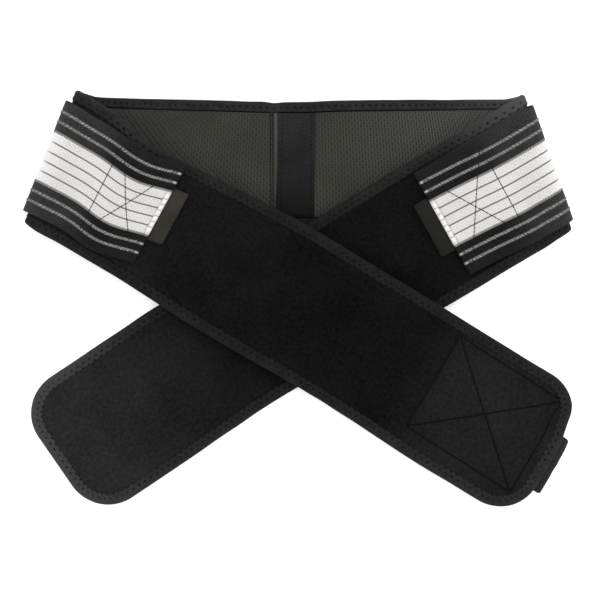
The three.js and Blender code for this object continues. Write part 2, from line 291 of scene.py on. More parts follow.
def round_off(distance: Array, radius: float, least: float) -> Array:
    """A quarter round from its rim inwards, as a share of its full height."""
    return np.sqrt(np.clip(1 - (1 - np.clip(distance / radius, 0, 1)) ** 2, least, 1))


def run_along(points: Array) -> Array:
    """The distance of each point from the first one, along all of them."""
    return np.concatenate([[0], np.cumsum(np.linalg.norm(np.diff(points, axis=0), axis=1))])


def unit(vectors: Array) -> Array:
    """The vectors, each at a length of 1."""
    return vectors / np.linalg.norm(vectors, axis=-1, keepdims=True)


def both_sides(middles: Sequence[float]) -> Array:
    """These distances on both sides of a middle line, in rising order."""
    return np.array([*(-middle for middle in reversed(middles)), *middles])


def grey(value: float) -> Color:
    """A grey as a colour."""
    return (value, value, value, 1)


class SteadyCurve:
    """A smooth curve through values at knots that never overshoots them, straight beyond its ends."""

    def __init__(self, knots: Array, values: Array) -> None:
        """Finds the slope at each knot.

        Args:
            knots: Places of the values, in rising order.
            values: The values there.
        """
        self.knots, self.values = knots, values
        spans = np.diff(knots)
        steps = np.diff(values) / spans
        slopes = np.concatenate([steps[:1], steps[1:] * 0, steps[-1:]])
        before, after = steps[:-1], steps[1:]
        same_way = before * after > 0
        first = 2 * spans[1:] + spans[:-1]
        second = spans[1:] + 2 * spans[:-1]
        safe_before = np.where(same_way, before, 1)
        safe_after = np.where(same_way, after, 1)
        inner = (first + second) / (first / safe_before + second / safe_after)
        slopes[1:-1] = np.where(same_way, inner, 0)
        self.slopes = slopes

    def at(self, place: Array) -> Array:
        """Reads the curve.

        Args:
            place: Places along the knots.

        Returns:
            The curve's values there.
        """
        knots, values, slopes = self.knots, self.values, self.slopes
        i = np.clip(np.searchsorted(knots, place, side="right") - 1, 0, len(knots) - 2)
        span = knots[i + 1] - knots[i]
        inside = np.clip(place, knots[0], knots[-1])
        t = (inside - knots[i]) / span
        blend = t * t * (3 - 2 * t)
        bend = slopes[i] * t * (1 - t) ** 2 * span + slopes[i + 1] * t * t * (t - 1) * span
        beyond = (place - inside) * np.where(place < knots[0], slopes[0], slopes[-1])
        return values[i] * (1 - blend) + values[i + 1] * blend + bend + beyond


class BeltSurface:
    """The belt's middle surface in metres.

    A place on it is the distance along from the centre back, plus to the left arm, and the distance across
    from the middle line, plus to the upper edge. The offset is along its outer normal.
    """

    DENT = 2.8 * MM
    DENT_PLACE = 27 * MM
    DENT_WIDTH = 11 * MM
    DENT_LENGTHS = (30 * MM, 4 * MM)

    def __init__(self, shift: Array) -> None:
        """Lays the belt out.

        Args:
            shift: From the tables' origin to the frame's origin, in metres.
        """
        right = RIGHT_HALF.rows()[::-1]
        rows = np.array([*right, CENTRE_BACK, *LEFT_HALF.rows()]) * MM
        upper, lower = rows[:, :3] + shift, rows[:, 3:] + shift
        middle = (upper + lower) / 2
        knots = run_along(middle)
        knots = knots - knots[len(right)]
        self.left_end, self.right_end = knots[-1], knots[0]
        self.upper = [SteadyCurve(knots, upper[:, i]) for i in range(3)]
        self.lower = [SteadyCurve(knots, lower[:, i]) for i in range(3)]

    def edges(self, along: Array) -> tuple[Array, Array]:
        """The points of the upper and the lower edge at these distances."""
        both = (self.upper, self.lower)
        return tuple(np.stack([curve.at(along) for curve in edge], axis=-1) for edge in both)

    def width(self, along: Array) -> Array:
        """The belt's width at these distances."""
        upper, lower = self.edges(along)
        return np.linalg.norm(upper - lower, axis=-1)

    @property
    def back_width(self) -> float:
        """The belt's width at the centre back."""
        return float(self.width(np.zeros(1))[0])

    def reach(self, side: Side) -> float:
        """The length of one half from the centre back to its end."""
        return self.left_end if side is Side.LEFT else -self.right_end

    def dent(self, along: Array, across: Array) -> Array:
        """How far the left end's edge is drawn in beside its grip tab."""
        near_end = ease(along, *(self.left_end - length for length in self.DENT_LENGTHS))
        return self.DENT * bell(across - self.DENT_PLACE, self.DENT_WIDTH) * near_end

    def spot(self, along: Array, share: Array) -> Array:
        """Points at a share of the way from the lower to the upper edge."""
        upper, lower = self.edges(along)
        return lower + (upper - lower) * share[..., None]

    def point(self, along: Array, across: Array, offset: Array) -> Array:
        """Places points by their distances on the belt.

        Args:
            along: Distances from the centre back.
            across: Distances from the middle line.
            offset: Heights over the middle surface.

        Returns:
            The points, with one more axis than the distances.
        """
        along, across, offset = np.broadcast_arrays(*np.atleast_1d(along, across, offset))
        share = 0.5 + across / self.width(along)
        along = along - self.dent(along, across)
        ahead = self.spot(along + SLOPE_STEP, share) - self.spot(along - SLOPE_STEP, share)
        upper, lower = self.edges(along)
        normal = unit(np.cross(ahead, upper - lower))
        return lower + (upper - lower) * share[..., None] + normal * offset[..., None]

    def rim_distance(self, along: Array, across: Array) -> Array:
        """Measures inwards from the belt's outline, with its rounded corners.

        Args:
            along: Distances from the centre back.
            across: Distances from the middle line.

        Returns:
            The distances from the outline.
        """
        side = self.width(along) / 2 - np.abs(across)
        end = np.minimum(self.left_end - along, along - self.right_end)
        corner = (side < END_RADIUS) & (end < END_RADIUS)
        rounded = END_RADIUS - np.hypot(END_RADIUS - side, END_RADIUS - end)
        return np.where(corner, rounded, np.minimum(side, end))


@dataclass
class ClothMesh:
    """Collects the points and faces of one piece; each point has a flat place for its material."""

    name: str
    points: list[Array] = field(default_factory=list)
    flats: list[Array] = field(default_factory=list)
    faces: list[list[int]] = field(default_factory=list)
    size: int = 0

    def add(self, points: Array, *flat: Array) -> Array:
        """Adds points.

        Args:
            points: The points, in an array of any shape.
            flat: The two flat distances of each point, in that shape or one that fits it.

        Returns:
            The points' numbers, in the same shape.
        """
        shape = points.shape[:-1]
        self.points.append(points.reshape(-1, 3))
        places = np.stack([np.broadcast_to(distance, shape) for distance in flat], axis=-1)
        self.flats.append(places.reshape(-1, 2))
        start = self.size
        self.size += int(np.prod(shape))
        return np.arange(start, self.size).reshape(shape)

    def grid(self, index: Array, flip: bool = False, closed: bool = False) -> None:
        """Adds the quads of a grid of points.

        Args:
            index: The points' numbers, in rows and columns.
            flip: Whether the faces look the other way.
            closed: Whether the last column joins the first one.
        """
        if closed:
            index = np.concatenate([index, index[:, :1]], axis=1)
        quads = np.stack([index[:-1, :-1], index[1:, :-1], index[1:, 1:], index[:-1, 1:]], axis=-1)
        quads = quads.reshape(-1, 4)
        self.faces.extend((quads[:, ::-1] if flip else quads).tolist())

    def face(self, corners: Array, flip: bool = False) -> None:
        """Adds one face with any number of corners."""
        self.faces.append((corners[::-1] if flip else corners).tolist())

    def tube(self, index: Array, flip: bool = False) -> None:
        """Adds a closed tube with a face over each end.

        Args:
            index: The points' numbers, in rings.
            flip: Whether the faces look the other way.
        """
        self.grid(index, flip=flip, closed=True)
        self.face(index[0], flip=flip)
        self.face(index[-1], flip=not flip)

    def build(self, material: Material) -> Piece:
        """Makes the object.

        Args:
            material: The piece's finish.

        Returns:
            The new object, linked to the scene.
        """
        mesh = bpy.data.meshes.new(self.name)
        mesh.from_pydata(np.concatenate(self.points).tolist(), [], self.faces)
        corners = np.empty(len(mesh.loops), np.int32)
        mesh.loops.foreach_get("vertex_index", corners)
        flat = np.concatenate(self.flats)[corners].astype(np.float32)
        mesh.uv_layers.new(name=FLAT_MAP).uv.foreach_set("vector", flat.ravel())
        mesh.shade_smooth()
        mesh.set_sharp_from_angle(angle=SHARP_ANGLE)
        mesh.materials.append(material)
        made = bpy.data.objects.new(self.name, mesh)
        bpy.context.scene.collection.objects.link(made)
        return made


@dataclass(frozen=True)
class Thread:
    """A row of stitches: short arched lengths of thread with their ends drawn in."""

    radius: float
    rise: float
    sink: float
    pitch: float = 0.0
    gap: float = 0.0
    end_girth: float = 0.55
    rings: int = 4
    sides: int = 5

    def lay(self, cloth: ClothMesh, place: Placing, along: Array, across: Array, base: Array) -> None:
        """Lays one thread for each row of places.

        Args:
            cloth: The mesh that takes the threads.
            place: Turns flat places into points.
            along: Distances along, one row for each thread.
            across: Distances across, likewise.
            base: Heights of the cloth there.
        """
        t = np.linspace(0, 1, self.rings)
        arch = np.sin(np.pi * t)
        height = base + self.rise * arch - self.sink * (1 - arch)
        centre = place(along, across, height)
        normal = unit(place(along, across, height + SLOPE_STEP) - centre)
        aside = unit(np.cross(normal, np.gradient(centre, axis=1)))
        girth = self.radius * (self.end_girth + (1 - self.end_girth) * arch)
        turn = np.linspace(0, 2 * np.pi, self.sides, endpoint=False)
        spokes = aside[:, :, None] * np.cos(turn)[:, None] + normal[:, :, None] * np.sin(turn)[:, None]
        points = centre[:, :, None] + spokes * girth[None, :, None, None]
        index = cloth.add(points, along[:, :, None], across[:, :, None])
        around = np.concatenate([index, index[:, :, :1]], axis=2)
        corners = [around[:, :-1, :-1], around[:, :-1, 1:], around[:, 1:, 1:], around[:, 1:, :-1]]
        cloth.faces.extend(np.stack(corners, axis=-1).reshape(-1, 4).tolist())
        cloth.faces.extend(index[:, 0, ::-1].tolist())
        cloth.faces.extend(index[:, -1].tolist())

    def sew(self, cloth: ClothMesh, place: Placing, path: Array, base: Heights) -> None:
        """Sews a run of stitches along a path.

        Args:
            cloth: The mesh that takes the threads.
            place: Turns flat places into points.
            path: Flat places along the run, in two columns.
            base: Gives the cloth's height at flat places.
        """
        run = run_along(path)
        count = max(1, round(run[-1] / self.pitch))
        pitch = run[-1] / count
        within = (np.linspace(0, 1, self.rings) - 0.5) * (1 - self.gap / pitch)
        at = (np.arange(count)[:, None] + 0.5 + within) * pitch
        along = np.interp(at, run, path[:, 0])
        across = np.interp(at, run, path[:, 1])
        self.lay(cloth, place, along, across, base(along, across))


@dataclass(frozen=True)
class StitchBox:
    """A sewn rectangle with both its diagonals, in flat distances."""

    near: float
    far: float
    half: float
    near_middle: float = 0.0
    far_middle: float = 0.0

    def lines(self) -> list[Array]:
        """Lists the sewn lines.

        Returns:
            The rectangle's four sides and two diagonals, each as two flat places.
        """
        low_near, high_near = ((self.near, self.near_middle + side) for side in (-self.half, self.half))
        low_far, high_far = ((self.far, self.far_middle + side) for side in (-self.half, self.half))
        ends = (
            (low_near, high_near),
            (low_far, high_far),
            (low_near, low_far),
            (high_near, high_far),
            (low_near, high_far),
            (high_near, low_far),
        )
        return [np.array(pair) for pair in ends]

    def distance(self, along: Array, across: Array) -> Array:
        """Measures from the nearest sewn line.

        Args:
            along: Distances along.
            across: Distances across.

        Returns:
            The distances from the line.
        """
        nearest = np.full(np.broadcast(along, across).shape, np.inf)
        for start, end in self.lines():
            run = end - start
            t = ((along - start[0]) * run[0] + (across - start[1]) * run[1]) / (run @ run)
            t = np.clip(t, 0, 1)
            gap = np.hypot(along - start[0] - t * run[0], across - start[1] - t * run[1])
            nearest = np.minimum(nearest, gap)
        return nearest


class Wiring:
    """Adds nodes to a tree and joins them in short calls."""

    NOISE_ROUGHNESS = 0.62

    def __init__(self, tree: Tree) -> None:
        """Keeps the tree that the nodes go into."""
        self.tree = tree

    def feed(self, socket: Socket, value: object) -> None:
        """Gives a socket its input.

        Args:
            socket: The socket.
            value: A socket to link into it, or the value to set.
        """
        if isinstance(value, Socket):
            self.tree.links.new(value, socket)
        else:
            socket.default_value = value

    def node(self, kind: str, inputs: dict | None = None, **settings: object) -> bpy.types.Node:
        """Adds a node.

        Args:
            kind: The node's type.
            inputs: What goes into its inputs, by their names or numbers.
            settings: The node's own settings.

        Returns:
            The node.
        """
        made = self.tree.nodes.new(kind)
        for name, value in settings.items():
            setattr(made, name, value)
        for key, value in (inputs or {}).items():
            self.feed(made.inputs[key], value)
        return made

    def math(self, operation: str, *values: object) -> Socket:
        """The result of one sum."""
        return self.node("ShaderNodeMath", dict(enumerate(values)), operation=operation).outputs[0]

    def times(self, value: Socket, factor: object) -> Socket:
        """The product of two values."""
        return self.math("MULTIPLY", value, factor)

    def total(self, *values: Socket) -> Socket:
        """The sum of several values."""
        return reduce(lambda first, second: self.math("ADD", first, second), values)

    def apart(self, value: Socket, other: object) -> Socket:
        """How far two values are apart."""
        return self.math("ABSOLUTE", self.math("SUBTRACT", value, other))

    def wave(self, value: Socket, pitch: float) -> Socket:
        """A cosine wave of this pitch, from -1 to 1."""
        return self.math("COSINE", self.times(value, 2 * np.pi / pitch))

    def ramp(self, value: Socket, start: object, end: object, low: float = 0, high: object = 1) -> Socket:
        """The value eased from low at start to high at end."""
        inputs = {"Value": value, "From Min": start, "From Max": end, "To Min": low, "To Max": high}
        return self.node("ShaderNodeMapRange", inputs, interpolation_type="SMOOTHSTEP").outputs[0]

    def mix(self, share: object, first: object, second: object) -> Socket:
        """A colour between two, by a share of the second."""
        return self.node("ShaderNodeMix", {0: share, 6: first, 7: second}, data_type="RGBA").outputs[2]

    def noise(self, place: Socket, scale: object, detail: float) -> Socket:
        """Smooth noise from 0 to 1."""
        inputs = {"Vector": place, "Scale": scale, "Detail": detail, "Roughness": self.NOISE_ROUGHNESS}
        return self.node("ShaderNodeTexNoise", inputs).outputs[0]

    def split(self, place: Socket) -> tuple[Socket, Socket]:
        """The first two parts of a vector."""
        made = self.node("ShaderNodeSeparateXYZ", {0: place})
        return made.outputs[0], made.outputs[1]


class Group(Wiring):
    """A shared effect while it is built: a node group with its own inputs and outputs."""

    def __init__(self, name: str, inputs: dict[str, str], outputs: dict[str, str]) -> None:
        """Starts the group.

        Args:
            name: The group's name.
            inputs: Its inputs, each with its kind.
            outputs: Its outputs, likewise.
        """
        super().__init__(bpy.data.node_groups.new(name, "ShaderNodeTree"))
        for way, sockets in (("INPUT", inputs), ("OUTPUT", outputs)):
            for label, kind in sockets.items():
                self.tree.interface.new_socket(name=label, in_out=way, socket_type=f"NodeSocket{kind}")
        self.given = self.node("NodeGroupInput").outputs
        self.made = self.node("NodeGroupOutput").inputs

    def close(self, **results: Socket) -> Tree:
        """Feeds the group's outputs.

        Args:
            results: What each output puts out.

        Returns:
            The finished tree.
        """
        for name, value in results.items():
            self.feed(self.made[name], value)
        return self.tree


@cache
def weave_group() -> Tree:
    """Staggers rows of small bumps, as in a plain weave, with holes between them.

    Returns:
        The group.
    """
    group = Group(
        "staggered_weave",
        {"Place": "Vector", "Along Pitch": "Float", "Across Pitch": "Float"},
        {"Height": "Float", "Hole": "Float"},
    )
    waves = []
    for distance, pitch in zip(group.split(group.given["Place"]), ("Along Pitch", "Across Pitch")):
        turns = group.math("DIVIDE", distance, group.given[pitch])
        waves.append(group.wave(turns, 1))
    both = group.times(*waves)
    height = group.math("MULTIPLY_ADD", both, -0.5, 0.5)
    return group.close(Height=height, Hole=group.ramp(both, 0.35, 0.95))


@cache
def fuzz_group() -> Tree:
    """Lets fine fibres stand off a cloth.

    Returns:
        The group.
    """
    group = Group(
        "fibre_fuzz",
        {"Place": "Vector", "Grain": "Float"},
        {"Height": "Float", "Rough": "Float"},
    )
    fine = group.noise(group.given["Place"], group.given["Grain"], 4)
    return group.close(Height=fine, Rough=group.ramp(fine, 0.3, 0.7, 0.78, 0.98))


@cache
def shade_group() -> Tree:
    """Mixes the uneven shade of dyed cloth: broad patches and fine specks between two colours.

    Returns:
        The group.
    """
    group = Group(
        "uneven_shade",
        {"Place": "Vector", "Dark": "Color", "Light": "Color", "Patch": "Float", "Grain": "Float"},
        {"Color": "Color"},
    )
    given = group.given
    broad = group.ramp(group.noise(given["Place"], given["Patch"], 3), 0.3, 0.7)
    specks = group.ramp(group.noise(given["Place"], given["Grain"], 2), 0.25, 0.75)
    share = group.math("MULTIPLY_ADD", broad, 0.45, group.times(specks, 0.55))
    return group.close(Color=group.mix(share, given["Dark"], given["Light"]))


@cache
def needle_group() -> Tree:
    """Masks one row of needle holes, by their pitch, row and shift along it.

    Returns:
        The group.
    """
    group = Group(
        "needle_holes",
        {"Place": "Vector", "Row": "Float", "Shift": "Float", "Pitch": "Float", "Radius": "Float"},
        {"Mask": "Float"},
    )
    given = group.given
    along, across = group.split(given["Place"])
    turns = group.math("ADD", group.math("DIVIDE", along, given["Pitch"]), given["Shift"])
    phase = group.math("SUBTRACT", group.math("FRACT", turns), 0.5)
    gap = group.times(phase, given["Pitch"])
    aside = group.math("SUBTRACT", across, given["Row"])
    square = group.math("MULTIPLY_ADD", gap, gap, group.times(aside, aside))
    share = group.math("DIVIDE", group.math("SQRT", square), given["Radius"])
    return group.close(Mask=group.ramp(share, 0.45, 1.25, 1, 0))


@cache
def fade_group() -> Tree:
    """Turns one colour into a second one from one place to another.

    Returns:
        The group.
    """
    places = {name: "Float" for name in ("Position", "Start", "End", "Most")}
    group = Group("ramped_tone", {**places, "Color": "Color", "Faded": "Color"}, {"Color": "Color"})
    given = group.given
    share = group.ramp(given["Position"], given["Start"], given["End"], 0, given["Most"])
    return group.close(Color=group.mix(share, given["Color"], given["Faded"]))


@cache
def stripe_group() -> Tree:
    """Masks one stripe, by the distance from its middle.

    Returns:
        The group.
    """
    group = Group(
        "soft_stripe",
        {"Position": "Float", "Middle": "Float", "Half Width": "Float", "Soft": "Float"},
        {"Mask": "Float"},
    )
    given = group.given
    over = group.math("SUBTRACT", group.apart(given["Position"], given["Middle"]), given["Half Width"])
    return group.close(Mask=group.ramp(group.math("DIVIDE", over, given["Soft"]), -0.5, 0.5, 1, 0))


class ClothMaterial(Wiring):
    """A material's tree with its shader, its flat places, a bump and the shared effects."""

    SHEEN_ROUGHNESS = 0.5

    def __init__(self, name: str, bump: float, sheen: float = 0.03, specular: float = 0.1) -> None:
        """Starts the material.

        Args:
            name: The material's name.
            bump: The depth of its relief, in metres.
            sheen: The strength of its nap's sheen.
            specular: The strength of its gloss.
        """
        self.material = bpy.data.materials.new(name)
        self.material.use_nodes = True
        super().__init__(self.material.node_tree)
        self.shader = self.tree.nodes["Principled BSDF"].inputs
        self.shader["Sheen Weight"].default_value = sheen
        self.shader["Sheen Roughness"].default_value = self.SHEEN_ROUGHNESS
        self.shader["Specular IOR Level"].default_value = specular
        self.place = self.node("ShaderNodeUVMap", uv_map=FLAT_MAP).outputs[0]
        self.bump = self.node("ShaderNodeBump", {"Strength": 1.0, "Distance": bump})
        self.feed(self.shader["Normal"], self.bump.outputs[0])

    def spot(self) -> Socket:
        """Places on the whole belt, as it lies."""
        return self.node("ShaderNodeTexCoord").outputs["Object"]

    def effect(self, group: Tree, **values: object) -> bpy.types.NodeOutputs:
        """Places a shared effect; its inputs are named with low lines for spaces."""
        inputs = {name.replace("_", " "): value for name, value in values.items()}
        return self.node("ShaderNodeGroup", inputs, node_tree=group).outputs

    def weave(self, along: float, across: float) -> tuple[Socket, Socket]:
        """The height of a weave with these pitches, and its holes."""
        made = self.effect(weave_group(), Place=self.place, Along_Pitch=along, Across_Pitch=across)
        return made["Height"], made["Hole"]

    def fuzz(self, grain: float) -> tuple[Socket, Socket]:
        """The height of fibres of this grain, and their roughness."""
        made = self.effect(fuzz_group(), Place=self.place, Grain=grain)
        return made["Height"], made["Rough"]

    def shade(self, dark: Color, light: Color, patch: float, grain: float) -> Socket:
        """An uneven shade between two colours, with patches and specks of these grains."""
        values = {"Dark": dark, "Light": light, "Patch": patch, "Grain": grain}
        return self.effect(shade_group(), Place=self.place, **values)["Color"]

    def stripe(self, position: Socket, middle: float, half: float, soft: float) -> Socket:
        """The mask of a stripe, by its middle, its half width and how soft its sides are."""
        values = {"Position": position, "Middle": middle, "Half_Width": half, "Soft": soft}
        return self.effect(stripe_group(), **values)["Mask"]

    def finish(self, color: Socket, rough: Socket, height: Socket) -> Material:
        """Joins the last nodes.

        Args:
            color: The base colour.
            rough: The roughness.
            height: The relief, from 0 to 1.

        Returns:
            The material.
        """
        self.feed(self.shader["Base Color"], color)
        self.feed(self.shader["Roughness"], rough)
        self.feed(self.bump.inputs["Height"], height)
        return self.material


class LighterStretch(NamedTuple):
    """A stretch where the colour turns lighter, for painted light and for the sewn box: from where to
    where, and by what share.
    """

    start: float
    end: float
    most: float


@dataclass(frozen=True)
class LoopFinish:
    """Matte black loop cloth, made lighter by painted light towards the arms' ends and round the folds,
    lighter still inside the left end's sewn box, and with a painted highlight by the right fold's upper
    edge.
    """

    box_start: float
    dark: Color = (0.0010, 0.0010, 0.0011, 1)
    light: Color = (0.0068, 0.0067, 0.0067, 1)
    # Lighter colours for the painted light towards the ends and folds, also used inside the sewn box.
    pale_and_lit_dark: Color = (0.0085, 0.0084, 0.0084, 1)
    pale_and_lit_light: Color = (0.0235, 0.0232, 0.0232, 1)
    # Colour of the painted highlight by the right fold.
    faded: Color = (0.040, 0.040, 0.0405, 1)
    bump: float = 0.25 * MM
    nap: float = 900.0
    patch: float = 16.0
    grain: float = 380.0
    # Painted light towards the right arm's tip and round both folds.
    right_tip: LighterStretch = LighterStretch(-400 * MM, -560 * MM, 1)
    left_fold: LighterStretch = LighterStretch(0, 200 * MM, 0.6)
    right_fold: LighterStretch = LighterStretch(0, 60 * MM, 0.3)
    # Painted highlight by the right fold, over the belt's upper part.
    painted_highlight: LighterStretch = LighterStretch(10 * MM, 95 * MM, 1)
    painted_highlight_across: LighterStretch = LighterStretch(12 * MM, 38 * MM, 1)

    def material(self) -> Material:
        """Mixes the finish.

        Returns:
            The material.
        """
        cloth = ClothMaterial("loop_nap", self.bump, sheen=0.02, specular=0.04)
        height, rough = cloth.fuzz(self.nap)
        plain = cloth.shade(self.dark, self.light, self.patch, self.grain)
        pale_and_lit = cloth.shade(self.pale_and_lit_dark, self.pale_and_lit_light, self.patch, self.grain)
        along, across = cloth.split(cloth.place)
        box = self.box_start
        # Painted light towards the left end, and a lighter step inside the sewn box.
        before_box = LighterStretch(box - 25 * MM, box + 5 * MM, 0.3)
        in_box = LighterStretch(box - 1 * MM, box + 3 * MM, 0.25)
        lit = (before_box, in_box, self.right_tip)
        shares = [cloth.ramp(along, zone.start, zone.end, 0, zone.most) for zone in lit]
        # Painted light round the folds.
        from_left, from_right = (cloth.apart(along, fold) for fold in (FOLD_PLACE, -FOLD_PLACE))
        for away, zone in ((from_left, self.left_fold), (from_right, self.right_fold)):
            shares.append(cloth.ramp(away, zone.start, zone.end, zone.most, 0))
        color = cloth.mix(cloth.total(*shares), plain, pale_and_lit)
        # Painted highlight by the right fold's upper edge.
        upper = cloth.ramp(across, *self.painted_highlight_across[:2])
        painted_highlight = cloth.times(cloth.ramp(from_right, *self.painted_highlight[:2], 1, 0), upper)
        return cloth.finish(cloth.mix(painted_highlight, color, self.faded), rough, height)


@dataclass(frozen=True)
class AirMeshFinish:
    """Olive-grey air mesh with staggered holes, with a painted highlight that makes it paler towards the
    right and beside the tape's seams.
    """

    dark: Color = (0.026, 0.0255, 0.0215, 1)
    light: Color = (0.050, 0.049, 0.0425, 1)
    hole: Color = (0.0135, 0.0135, 0.0115, 1)
    valley: Color = (0.024, 0.0238, 0.0205, 1)
    # Colour of the painted highlight towards the right and along the ridge beside the tape.
    pale: Color = (0.078, 0.078, 0.075, 1)
    seam: Color = (0.012, 0.012, 0.0105, 1)
    bump: float = 0.5 * MM
    nap: float = 1400.0
    patch: float = 22.0
    grain: float = 800.0
    hole_share: float = 0.7
    valley_share: float = 0.6
    seam_lean: float = 0.0333
    seam_half: float = 0.28 * MM
    ridge_half: float = 0.9 * MM
    along_pitch: float = 4.3 * MM
    across_pitch: float = 4.1 * MM

    def material(self) -> Material:
        """Mixes the finish.

        Returns:
            The material.
        """
        cloth = ClothMaterial("air_mesh", self.bump)
        height, hole = cloth.weave(self.along_pitch, self.across_pitch)
        _, rough = cloth.fuzz(self.nap)
        along, across = cloth.split(cloth.place)
        color = cloth.shade(self.dark, self.light, self.patch, self.grain)
        # Painted highlight: paler towards the right half.
        color = cloth.mix(cloth.ramp(along, -20 * MM, -150 * MM, 0, 0.9), color, self.pale)
        valley = cloth.ramp(cloth.wave(along, self.along_pitch / 2), -1, 1, 0, self.valley_share)
        color = cloth.mix(valley, color, self.valley)
        color = cloth.mix(cloth.times(hole, self.hole_share), color, self.hole)
        upright = cloth.math("MULTIPLY_ADD", across, -self.seam_lean, along)
        # Painted highlight along the ridge beside the tape, stronger towards the upper edge.
        crest = cloth.stripe(upright, LINING_RIDGE, self.ridge_half, 1.2 * MM)
        shown = cloth.times(crest, cloth.ramp(across, -30 * MM, 40 * MM, 0.1, 0.6))
        color = cloth.mix(shown, color, self.pale)
        for middle in LINING_SEAMS:
            color = cloth.mix(cloth.stripe(upright, middle, self.seam_half, 0.4 * MM), color, self.seam)
        return cloth.finish(color, rough, height)


class Fade(NamedTuple):
    """A fade over the belt: its axis, from where to where, its greatest share and its colour."""

    axis: int
    start: float
    end: float
    most: float
    color: Color


@dataclass(frozen=True)
class TapeFinish:
    """Woven tape: a fine weave between two near colours, ramped towards a third over the belt."""

    name: str
    dark: Color
    light: Color
    along_pitch: float
    across_pitch: float
    bump: float
    fade: Fade
    nap: float = 1800.0
    patch: float = 30.0
    grain: float = 900.0
    hole_share: float = 0.45
    fuzz_share: float = 0.4

    def material(self) -> Material:
        """Mixes the finish.

        Returns:
            The material.
        """
        cloth = ClothMaterial(self.name, self.bump)
        weave, hole = cloth.weave(self.along_pitch, self.across_pitch)
        fuzz, rough = cloth.fuzz(self.nap)
        shade = cloth.shade(self.dark, self.light, self.patch, self.grain)
        woven = cloth.mix(cloth.times(hole, self.hole_share), shade, self.dark)
        axis, start, end, most, faded = self.fade
        position = cloth.split(cloth.spot())[axis]
        places = {"Position": position, "Start": start, "End": end, "Most": most}
        color = cloth.effect(fade_group(), **places, Color=woven, Faded=faded)["Color"]
        return cloth.finish(color, rough, cloth.math("MULTIPLY_ADD", fuzz, self.fuzz_share, weave))


@dataclass(frozen=True)
class BindingFinish:
    """Soft black binding tape with rows of dark needle holes, lighter away from the belt's middle by
    painted light, with painted highlights at the right fold and the right arm's tip.
    """

    dark: Color = grey(0.0048)
    light: Color = (0.0138, 0.0137, 0.0137, 1)
    # Lighter colours of the painted light away from the belt's middle.
    outer_lit_dark: Color = (0.0100, 0.0099, 0.0099, 1)
    outer_lit_light: Color = (0.0260, 0.0257, 0.0257, 1)
    # Colour of the painted highlights at the right fold and the right arm's tip.
    faded: Color = (0.080, 0.080, 0.081, 1)
    hole: Color = grey(0.0015)
    bump: float = 0.15 * MM
    nap: float = 1500.0
    patch: float = 60.0
    grain: float = 420.0
    along_pitch: float = 1.1 * MM
    across_pitch: float = 1.0 * MM
    weave_share: float = 0.4
    hole_radius: float = 1.05 * MM
    # Painted light grows from the dark radius out to the outer radius.
    dark_radius: float = 50 * MM
    outer_lit_radius: float = 150 * MM
    flattening: tuple[float, float, float] = (0.5, 1, 0)

    def material(self) -> Material:
        """Mixes the finish.

        Returns:
            The material.
        """
        cloth = ClothMaterial("binding_tape", self.bump)
        weave, _ = cloth.weave(self.along_pitch, self.across_pitch)
        fuzz, rough = cloth.fuzz(self.nap)
        # The base tone near the middle, and painted light farther out.
        base_tone = cloth.shade(self.dark, self.light, self.patch, self.grain)
        outer_lit = cloth.shade(self.outer_lit_dark, self.outer_lit_light, self.patch, self.grain)
        spot = cloth.spot()
        flat = cloth.node("ShaderNodeVectorMath", {0: spot, 1: self.flattening}, operation="MULTIPLY")
        away = cloth.node("ShaderNodeVectorMath", {0: flat.outputs[0]}, operation="LENGTH").outputs["Value"]
        color = cloth.mix(cloth.ramp(away, self.dark_radius, self.outer_lit_radius), base_tone, outer_lit)
        x, y = cloth.split(spot)
        # Painted highlights at the right fold and the right arm's tip.
        fold = cloth.times(cloth.ramp(x, 92 * MM, 175 * MM, 0, 0.85), cloth.ramp(y, 50 * MM, 90 * MM))
        tip = cloth.times(cloth.ramp(x, -80 * MM, -190 * MM, 0, 0.42), cloth.ramp(y, 0, -40 * MM))
        color = cloth.mix(cloth.total(fold, tip), color, self.faded)
        drawn = cloth.ramp(cloth.noise(cloth.place, 90.0, 2), 0.3, 0.7, 0.5, 1)
        for k, row in enumerate((*BINDING_ROWS, BINDING_BACK + BINDING_BACK_ROW)):
            sizes = {"Row": row, "Shift": 0.5 + 0.5 * k, "Pitch": BINDING_PITCH, "Radius": self.hole_radius}
            holes = cloth.effect(needle_group(), Place=cloth.place, **sizes)["Mask"]
            color = cloth.mix(cloth.times(holes, drawn), color, self.hole)
        return cloth.finish(color, rough, cloth.math("MULTIPLY_ADD", weave, self.weave_share, fuzz))


